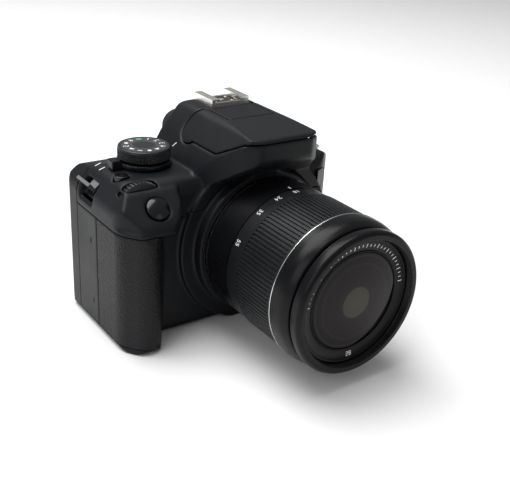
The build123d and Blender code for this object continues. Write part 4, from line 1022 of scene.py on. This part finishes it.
@dataclass
class ModeDial:
    """Mode dial with a diamond-knurled flank and printed marks. Sizes in millimetres."""

    diamonds: int = 52
    knurl: float = 0.60
    mark_r: float = 9.2
    marks: tuple[tuple[DialMark, str, Finish], ...] = (
        (DialMark.SQUARE, "auto", GREEN_MARK),
        (DialMark.NUMBER, "1", WHITE),
        (DialMark.NUMBER, "2", WHITE),
        (DialMark.NUMBER, "3", WHITE),
        (DialMark.NUMBER, "4", WHITE),
        (DialMark.PEAK, "peak", WHITE),
        (DialMark.RING, "ring", WHITE),
        (DialMark.STROKE, "stroke", WHITE),
        (DialMark.PEAK, "rise", WHITE),
        (DialMark.NUMBER, "5", WHITE),
        (DialMark.RING, "round", WHITE),
        (DialMark.NUMBER, "6", WHITE),
    )

    def build(self) -> list[bpy.types.Object]:
        """Builds the dial and its marks and gives them back."""
        low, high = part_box("mode_dial")
        centre = ((low.x + high.x) / 2 / MM, (low.y + high.y) / 2 / MM)
        radius, top = (high.x - low.x) / 2 / MM, high.z / MM
        spindle = Spindle((*centre, 0.0), (0.0, 0.0, 1.0), (0.0, 1.0, 0.0))
        start, end = top - 5.0, top - 1.2

        def knurled(angle: float, r: float, travel: float) -> float:
            """Cuts crossing grooves that leave small diamonds."""
            if r < radius - 0.1 or not start <= travel <= end:
                return 0.0
            turns = angle * self.diamonds / (2 * math.pi)
            lift = (travel - start) * 0.68
            ridge = min(triangle_wave(turns + lift), triangle_wave(turns - lift))
            return -self.knurl * max(0.0, 1.0 - ridge * 1.7)

        rows = [(radius, start + (end - start) * step / 14, 0.0) for step in range(15)]
        profile: Profile = [
            (0.0, low.z / MM, 0.0),
            (3.0, low.z / MM, 0.0),
            (3.0, start - 0.9, 0.0),
            (radius - 1.2, start - 0.9, 0.0),
            (radius - 0.5, start - 0.2, 0.1),
            *rows,
            (radius - 0.15, end + 0.25, 0.1),
            (radius - 0.35, top - 0.2, 0.2),
            (radius - 1.0, top, 0.2),
            (radius - 1.5, top - 0.12, 0.1),
            (0.0, top - 0.12, 0.0),
        ]
        dial = turned("mode_dial_knurled", spindle, profile, CONTROL, self.diamonds * 8, knurled)
        pieces = [fasten(dial, "mode_dial", "control_plastic", "mode_dial")]
        face: Profile = [
            (0.0, top - 0.3, 0.0),
            (radius - 1.75, top - 0.3, 0.0),
            (radius - 1.75, top - 0.06, 0.05),
            (5.2, top - 0.06, 0.1),
            (4.9, top - 0.2, 0.1),
            (0.0, top - 0.2, 0.0),
        ]
        plate = turned("mode_dial_face", spindle, face, DIAL_FACE, 96)
        pieces.append(fasten(plate, "mode_dial", "control_plastic"))
        count = len(self.marks)
        for index, (kind, label, paint) in enumerate(self.marks):
            angle = 2 * math.pi * (index + 0.35) / count
            outward = Vector((math.sin(angle), math.cos(angle), 0.0))
            origin = Vector((*centre, top - 0.05)) + outward * (self.mark_r - 1.0)
            across = Vector((0.0, 0.0, 1.0)).cross(-outward)
            lay = flat(tuple(origin), tuple(-across), tuple(outward))
            mark = self._mark(kind, label, lay, paint)
            pieces.append(fasten(mark, "mode_dial", "control_plastic"))
        return pieces

    @staticmethod
    def _mark(kind: DialMark, label: str, lay: Lay, paint: Finish) -> bpy.types.Object:
        """Prints one mark of the dial.

        Args:
            kind: Its shape.
            label: The figure, or a name for the piece.
            lay: Where it lies.
            paint: Its paint.

        Returns:
            The mark.
        """
        name = "dial_mark_" + label
        if kind is DialMark.NUMBER:
            return figures(name, label, 2.9, lay, paint)
        if kind is DialMark.RING:
            return prism(name, circle(0.95, 24), PAINT, lay, paint)
        if kind is DialMark.PEAK:
            corners = [(-1.3, -0.9), (1.3, -0.9), (0.55, 0.5), (0.25, 0.1), (-0.35, 1.0)]
            return prism(name, corners, PAINT, lay, paint)
        if kind is DialMark.SQUARE:
            return prism(name, panel(1.2, 0.85, 0.2), PAINT, lay, paint)
        return prism(name, bar(2.2, 0.7), PAINT, lay, paint)


@dataclass
class CommandWheel:
    """Ribbed command wheel on its axle. Sizes in millimetres."""

    ribs: int = 40
    depth: float = 0.6

    def build(self) -> list[bpy.types.Object]:
        """Builds the wheel and gives it back."""
        low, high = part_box("main_dial")
        centre = (low + high) / 2 / MM
        radius = (high.x - low.x) / 2 / MM
        reach, half = (high.y - low.y) / 2 / MM, 2.1
        spindle = Spindle((centre.x, centre.y, centre.z), (0.0, 1.0, 0.0), (0.0, 0.0, 1.0))

        def ribbed(angle: float, r: float, travel: float) -> float:
            """Cuts the finger grooves."""
            if r < radius - 0.2:
                return 0.0
            wave = triangle_wave(angle * self.ribs / (2 * math.pi))
            return -self.depth * max(0.0, min(1.0, (0.5 - wave) * 3.2))

        profile: Profile = [
            (0.0, -reach, 0.0),
            (1.5, -reach, 0.2),
            (1.5, -half, 0.0),
            (radius - 0.9, -half, 0.3),
            (radius, -half + 0.7, 0.3),
            (radius, 0.0, 0.0),
            (radius, half - 0.7, 0.3),
            (radius - 0.9, half, 0.3),
            (1.5, half, 0.0),
            (1.5, reach, 0.2),
            (0.0, reach, 0.0),
        ]
        wheel = turned("command_wheel_ribbed", spindle, profile, CONTROL, self.ribs * 10, ribbed)
        return [fasten(wheel, "main_dial", "control_plastic", "main_dial")]


@dataclass
class ReleaseKey:
    """Domed release button on its leaning axis. Sizes in millimetres."""

    place: tuple[float, float, float] = (-56.0, -30.3, 67.6)
    tilt: float = 41.0
    radius: float = 5.2
    collar: float = 0.45
    top: float = 1.2
    rise: float = 1.0
    edge: float = 0.25
    foot: float = 4.2
    guide: float = 2.8

    def build(self) -> list[bpy.types.Object]:
        """Builds the button and gives it back."""
        lean = math.radians(self.tilt)
        spindle = Spindle(self.place, (0.0, -math.sin(lean), math.cos(lean)), (1.0, 0.0, 0.0))
        dome = domed(self.radius, self.rise, self.radius - self.edge, self.top, 12)
        wide = self.radius + self.collar
        profile: Profile = [
            (0.0, -self.foot, 0.0),
            (wide, -self.foot, 0.1),
            (wide, -self.guide - 0.3, 0.1),
            (self.radius, -self.guide - 0.3, 0.0),
            (self.radius, 0.12, 0.2),
            *dome,
        ]
        button = turned("release_key_domed", spindle, profile, GLOSS, 96)
        return [fasten(button, "shutter_button", "gloss_black", "shutter_button")]


@dataclass
class TopMarks:
    """Painted marks beside the controls. Sizes in millimetres."""

    flank: tuple[float, float, float] = (-0.85, 0.0, 0.52)
    index_place: tuple[float, float, float] = (-28.62, 4.3, 81.68)
    index_along: tuple[float, float, float] = (0.52, -0.7, 0.85)
    shoulder_z: float = 75.45
    lever_marks: tuple[tuple[str, float, float], ...] = (
        ("lever_mark_off", -65.3, 4.8), ("lever_mark_on", -64.6, 10.5),
    )

    def build(self) -> list[bpy.types.Object]:
        """Builds the marks and gives them back."""
        out, along = Vector(self.flank), Vector(self.index_along).normalized()
        lay = flat(self.index_place, tuple(along), tuple(out.cross(along)))
        body = ("camera_body", "body_plastic", WHITE)
        pieces = [printed("dial_index_mark", bar(3.0, 0.55), lay, *body, 0.06)]
        for name, x, y in self.lever_marks:
            lay = flat((x, y, self.shoulder_z), (-0.95, 0.0, -0.31), (0.0, -1.0, 0.0))
            pieces.append(printed(name, bar(3.0, 0.6), lay, *body, 0.12))
        return pieces


@dataclass
class AccessoryShoe:
    """Contacts and spring leaves in the accessory shoe. Sizes in millimetres."""

    contact_places: tuple[tuple[float, float, float], ...] = (
        (0.0, 10.2, 1.5), (-4.6, 13.4, 0.8), (4.6, 13.4, 0.8), (-4.6, 7.2, 0.8), (4.6, 7.2, 0.8),
    )

    def build(self) -> list[bpy.types.Object]:
        """Builds the contacts, the insulating pad and the springs and gives them back."""
        low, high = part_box("hot_shoe")
        floor = low.z / MM + 0.7
        pieces = []
        lay = flat((0.0, 10.4, floor), (1.0, 0.0, 0.0), (0.0, 1.0, 0.0))
        pad = prism("shoe_insulating_pad", panel(6.3, 5.2, 0.8), 0.25, lay, CONTROL, 0.08)
        pieces.append(fasten(pad, "camera_body", "control_plastic"))
        for index, (x, y, radius) in enumerate(self.contact_places):
            spindle = Spindle((x, y, floor + 0.2), (0.0, 0.0, 1.0), (1.0, 0.0, 0.0))
            profile: Profile = [(0.0, 0.0, 0.0), (radius, 0.0, 0.0), (radius, 0.2, 0.1), (0.0, 0.32, 0.0)]
            contact = turned(f"shoe_contact_{index}", spindle, profile, NICKEL, 32)
            pieces.append(fasten(contact, "camera_body", "shoe_steel"))
        for side in (-1, 1):
            pieces.append(self._spring(side, floor))
        return pieces

    @staticmethod
    def _spring(side: int, floor: float) -> bpy.types.Object:
        """Makes one bowed spring leaf that lies under a rail.

        Args:
            side: Which rail, as -1 or 1.
            floor: Height of the shoe's floor.

        Returns:
            The spring leaf.
        """
        made = bmesh.new()
        count, width, thick = 14, 1.7, 0.22
        rows = []
        for step in range(count + 1):
            part = step / count
            y = 3.4 + 12.6 * part
            z = floor + 0.1 + 0.9 * math.sin(math.pi * part) ** 2
            x0, x1 = side * 8.6, side * (8.6 - width)
            corners = ((x0, z), (x1, z), (x1, z + thick), (x0, z + thick))
            rows.append([made.verts.new(Vector((x, y, h)) * MM) for x, h in corners])
        for near, far in zip(rows, rows[1:]):
            for index in range(4):
                after = (index + 1) % 4
                made.faces.new([near[index], near[after], far[after], far[index]])
        made.faces.new(rows[0])
        made.faces.new(rows[-1][::-1])
        spring = piece_from(f"shoe_spring_{'left' if side < 0 else 'right'}", made, NICKEL)
        return fasten(spring, "camera_body", "shoe_steel")


# ---------------------------------------------------------------- front and back details
@dataclass
class FrontDetails:
    """Badge plate, red-eye lamp and the slots of the grip side, drawn as thin dark sheets of painted shade.
    Sizes in millimetres.
    """

    lamp_place: tuple[float, float, float] = (26.8, -25.9, 71.7)
    badge_place: tuple[float, float, float] = (38.2, -23.75, 63.8)
    painted_slot_shades: tuple[tuple[str, float, float], ...] = (
        ("painted_slot_shade_upper", -0.3, 44.3), ("painted_slot_shade_lower", -1.3, 13.7),
    )

    def build(self) -> list[bpy.types.Object]:
        """Builds the front's small pieces and gives them back."""
        lay = flat(self.lamp_place, (1.0, 0.0, 0.0), (0.0, -0.81, 0.59))
        pieces = [printed("red_eye_lamp", circle(2.1, 32), lay, "camera_body", "gloss_black", GLOSS, 0.3, 0.12)]
        lay = flat(self.badge_place, (0.90, 0.44, 0.0), (0.0, 0.0, 1.0))
        plate = panel(3.6, 4.2, 0.8)
        pieces.append(printed("badge_plate", plate, lay, "camera_body", "body_plastic", DIAL_FACE, 0.25, 0.1))
        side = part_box("front_cover")[0]
        # Each slot is a thin dark sheet laid on the side: painted shade where a recess would be, no recess is
        # cut.
        for name, y, z in self.painted_slot_shades:
            lay = flat((side.x / MM + 0.01, y, z), (0.0, -1.0, 0.0), (0.0, 0.0, 1.0))
            mouth = panel(0.55, 1.5, 0.5)
            pieces.append(printed(name, mouth, lay, "camera_body", "inner_black", INSIDE, 0.06))
        return pieces


@dataclass
class BackDetails:
    """Marks on the back keys and the thumb rest. Sizes in millimetres."""

    thumb_place: tuple[float, float, float] = (-63.0, 26.95, 50.0)
    key_marks: dict[str, tuple[str, Finish]] = field(default_factory=lambda: {
        "live_view_button": ("dot", WHITE),
        "exposure_button": ("cross", WHITE),
        "quick_button": ("square", WHITE),
        "key_up": ("up", WHITE),
        "key_down": ("down", WHITE),
        "key_left": ("left", WHITE),
        "key_right": ("right", WHITE),
        "set_button": ("ring", GREY_MARK),
        "display_button": ("bars", WHITE),
        "menu_button": ("bars", WHITE),
        "play_button": ("play", BLUE_MARK),
        "erase_button": ("square", BLUE_MARK),
        "ae_lock_button": ("star", WHITE),
        "af_point_button": ("square", WHITE),
    })

    def build(self) -> list[bpy.types.Object]:
        """Builds the back's small pieces and gives them back."""
        pieces = []
        for node, (shape, paint) in self.key_marks.items():
            low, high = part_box(node)
            middle = (low + high) / 2 / MM
            lay = flat((middle.x, high.y / MM, middle.z), (-1.0, 0.0, 0.0), (0.0, 0.0, 1.0))
            for index, outline in enumerate(self._outlines(shape)):
                mark = f"{node}_mark_{index}"
                pieces.append(printed(mark, outline, lay, node, "control_plastic", paint, 0.05))
        pieces.append(self._thumb_rest())
        return pieces

    @staticmethod
    def _outlines(shape: str) -> list[list[tuple[float, float]]]:
        """Gives the outlines of a key's mark.

        Args:
            shape: Name of the mark.

        Returns:
            One outline for each stroke.
        """
        point = [(-1.0, -0.8), (1.0, -0.8), (0.0, 0.9)]
        turns = {"up": 0, "left": 90, "down": 180, "right": 270, "play": 270}
        if shape in turns:
            angle = math.radians(turns[shape])
            c, s = math.cos(angle), math.sin(angle)
            return [[(x * c - y * s, x * s + y * c) for x, y in point]]
        if shape == "bars":
            return [[(x, y + lift) for x, y in bar(2.2, 0.35)] for lift in (-0.8, 0.0, 0.8)]
        if shape == "cross":
            flat_bar = bar(2.2, 0.5)
            return [flat_bar, [(y, x) for x, y in flat_bar][::-1]]
        if shape == "star":
            corners = []
            for step in range(10):
                r = 1.2 if step % 2 == 0 else 0.5
                corners.append((r * math.sin(math.pi * step / 5), r * math.cos(math.pi * step / 5)))
            return [corners[::-1]]
        if shape == "ring":
            return [circle(1.2, 24)]
        if shape == "dot":
            return [circle(0.9, 24)]
        return [panel(1.0, 0.75, 0.15)]

    def _thumb_rest(self) -> bpy.types.Object:
        """Rubber pad for the thumb beside the keys."""
        lay = flat(self.thumb_place, (-1.0, 0.0, 0.0), (0.0, 0.0, 1.0))
        outline = panel(5.6, 9.5, 4.0, 8)
        return printed("thumb_rest_pad", outline, lay, "camera_body", "grip_skin", RUBBER, 0.55, 0.4)


# ---------------------------------------------------------------- carried-over nodes
@dataclass
class Dressing:
    """Finishes of the pieces that keep their own shape."""

    by_node: dict[str, Surface] = field(default_factory=lambda: {
        "front_cover": BODY, "rear_cover": BODY, "top_cover": BODY, "bottom_cover": BODY,
        "grip_rubber": RUBBER, "chassis": ALLOY, "mirror_box": INSIDE, "mount_ring": CHROME,
        "focusing_screen": LAMP, "pentamirror": MIRRORED, "eyepiece_lens": EYE_GLASS, "eyecup": SOFT,
        "shutter_unit": INSIDE, "image_sensor": SENSOR, "main_board": BOARD, "lcd_window": SCREEN,
        "hot_shoe": NICKEL, "tripod_bush": BRASS, "battery_pack": BATTERY, "strap_lugs": CHROME,
        "screws": STEEL, "side_sockets": STEEL, "lens_mount": CHROME, "lens_barrel": BARREL,
        "lens_front_sleeve": BARREL, "mode_dial": CONTROL, "power_lever": LEVER, "main_dial": CONTROL,
        "shutter_button": GLOSS, "flash_button": GLOSS, "flash_head": FLASH, "flash_window": LAMP,
        "release_button": GLOSS, "lock_pin": STEEL, "reflex_mirror": MIRRORED, "battery_door": BODY,
        "door_latch": CONTROL, "terminal_cover": SOFT, "zoom_ring": RIBS, "inner_barrel": BARREL,
        "focus_ring": BARREL, "name_ring": NAME_RING, "front_lens": FRONT_GLASS_PAINTED_REFLECTIONS, "rear_lens_group": EYE_GLASS,
        "af_switch": CONTROL, "dioptric_knob": CONTROL,
    })
    moulded: dict[str, tuple[float, int]] = field(default_factory=lambda: {
        "top_cover": (0.5, 24), "front_cover": (0.5, 14), "rear_cover": (0.5, 6), "bottom_cover": (0.5, 4),
        "flash_head": (0.5, 8), "grip_rubber": (0.4, 12), "eyecup": (0.5, 10), "power_lever": (0.3, 5),
    })

    def build(self, nodes: dict[str, bpy.types.Object]) -> None:
        """Puts a finish on each node of the frame.

        Args:
            nodes: The frame's nodes by name.
        """
        for name, node in nodes.items():
            finish = CONTROL if name in KEY_NODES else self.by_node[name]
            for slot in node.material_slots:
                slot.link = "OBJECT"
                slot.material = finish.material()
            if name in self.moulded:
                self._round_edges(node, *self.moulded[name])
            LOG.info("%s wears %s", name, finish.name)

    @staticmethod
    def _round_edges(node: bpy.types.Object, voxel_mm: float, passes: int) -> None:
        """Rounds a moulding's edges and the creases between its forms, as its tool does.

        Args:
            node: The moulding.
            voxel_mm: Size of the new faces.
            passes: How far the edges are eased.
        """
        remesh = node.modifiers.new("moulding_faces", "REMESH")
        remesh.mode = "VOXEL"
        remesh.voxel_size = voxel_mm * MM
        remesh.use_smooth_shade = True
        ease = node.modifiers.new("moulding_edges", "SMOOTH")
        ease.factor = 0.5
        ease.iterations = passes


# ---------------------------------------------------------------- studio
@dataclass
class Studio:
    """Floor, soft light and camera. Sizes in metres."""

    eye: tuple[float, float, float] = (-0.21178762, -0.31392684, 0.20574019)
    right: tuple[float, float, float] = (0.82061193, -0.56883349, 0.05499557)
    up: tuple[float, float, float] = (0.20699467, 0.38554804, 0.89916957)
    lens: float = 57.92
    floor_half: float = 6.0
    softboxes: tuple[tuple, ...] = (
        ("top_softbox", (-0.20, 0.30, 1.1), (0.0, 0.0, 0.05), 1.0, 17.0),
        ("side_softbox", (-1.1, -0.25, 0.75), (0.0, 0.0, 0.05), 0.7, 3.0),
        ("front_softbox", (0.35, -1.2, 0.85), (0.0, 0.0, 0.04), 0.5, 0.5),
    )
    sky: float = 0.30
    backdrop: float = 1.0

    def build(self) -> None:
        """Builds the floor, the lights and the camera."""
        self._floor()
        self._sky()
        for softbox in self.softboxes:
            self._softbox(*softbox)
        self._camera()

    def _floor(self) -> None:
        """Lays the pale floor."""
        made = bmesh.new()
        half = self.floor_half
        corners = ((-half, -half), (half, -half), (half, half), (-half, half))
        made.faces.new([made.verts.new((x, y, 0.0)) for x, y in corners])
        floor = piece_from("studio_floor", made, FLOOR)

    def _sky(self) -> None:
        """Fills the room with even light."""
        world = bpy.data.worlds.new("studio_air")
        world.use_nodes = True
        shade = world.node_tree.nodes["Background"]
        nodes, links = world.node_tree.nodes, world.node_tree.links
        shade.inputs["Color"].default_value = (1.0, 1.0, 1.0, 1.0)
        seen = nodes.new("ShaderNodeLightPath")
        strength = nodes.new("ShaderNodeMapRange")
        strength.inputs[3].default_value = self.sky
        strength.inputs[4].default_value = self.backdrop
        links.new(seen.outputs["Is Camera Ray"], strength.inputs[0])
        links.new(strength.outputs[0], shade.inputs["Strength"])
        bpy.context.scene.world = world
        bpy.context.scene.view_settings.view_transform = "Standard"

    @staticmethod
    def _softbox(name: str, place: tuple[float, float, float], target: tuple[float, float, float],
                 size: float,
                 power: float) -> None:
        """Hangs a softbox.

        Args:
            name: Name of the light.
            place: Where it hangs.
            target: What it points at.
            size: Its side.
            power: Its power in watts.
        """
        light = bpy.data.lights.new(name, "AREA")
        light.size = size
        light.energy = power
        box = bpy.data.objects.new(name, light)
        box.location = place
        box.rotation_euler = (Vector(target) - Vector(place)).to_track_quat("-Z", "Y").to_euler()
        bpy.context.scene.collection.objects.link(box)

    def _camera(self) -> None:
        """Sets the camera at the recorded viewing angle."""
        data = bpy.data.cameras.new("studio_camera")
        data.lens = self.lens
        data.sensor_width = 36.0
        data.clip_start = 0.01
        camera = bpy.data.objects.new("studio_camera", data)
        right, up = Vector(self.right), Vector(self.up)
        back = right.cross(up)
        turn = Matrix((right, up, back)).transposed().to_4x4()
        camera.matrix_world = Matrix.Translation(self.eye) @ turn
        bpy.context.scene.collection.objects.link(camera)
        bpy.context.scene.camera = camera


def main() -> None:
    """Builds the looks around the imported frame."""
    logging.basicConfig(level=logging.INFO, format="%(message)s")
    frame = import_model()
    Dressing().build(frame["nodes"])
    assemblies = (Lens(), ModeDial(), CommandWheel(), ReleaseKey(), TopMarks(), AccessoryShoe(),
                  FrontDetails(),
                  BackDetails())
    for assembly in assemblies:
        for piece in assembly.build():
            LOG.info("%s: %s", type(assembly).__name__, piece.name)
    Studio().build()


if __name__ == "__main__":
    main()
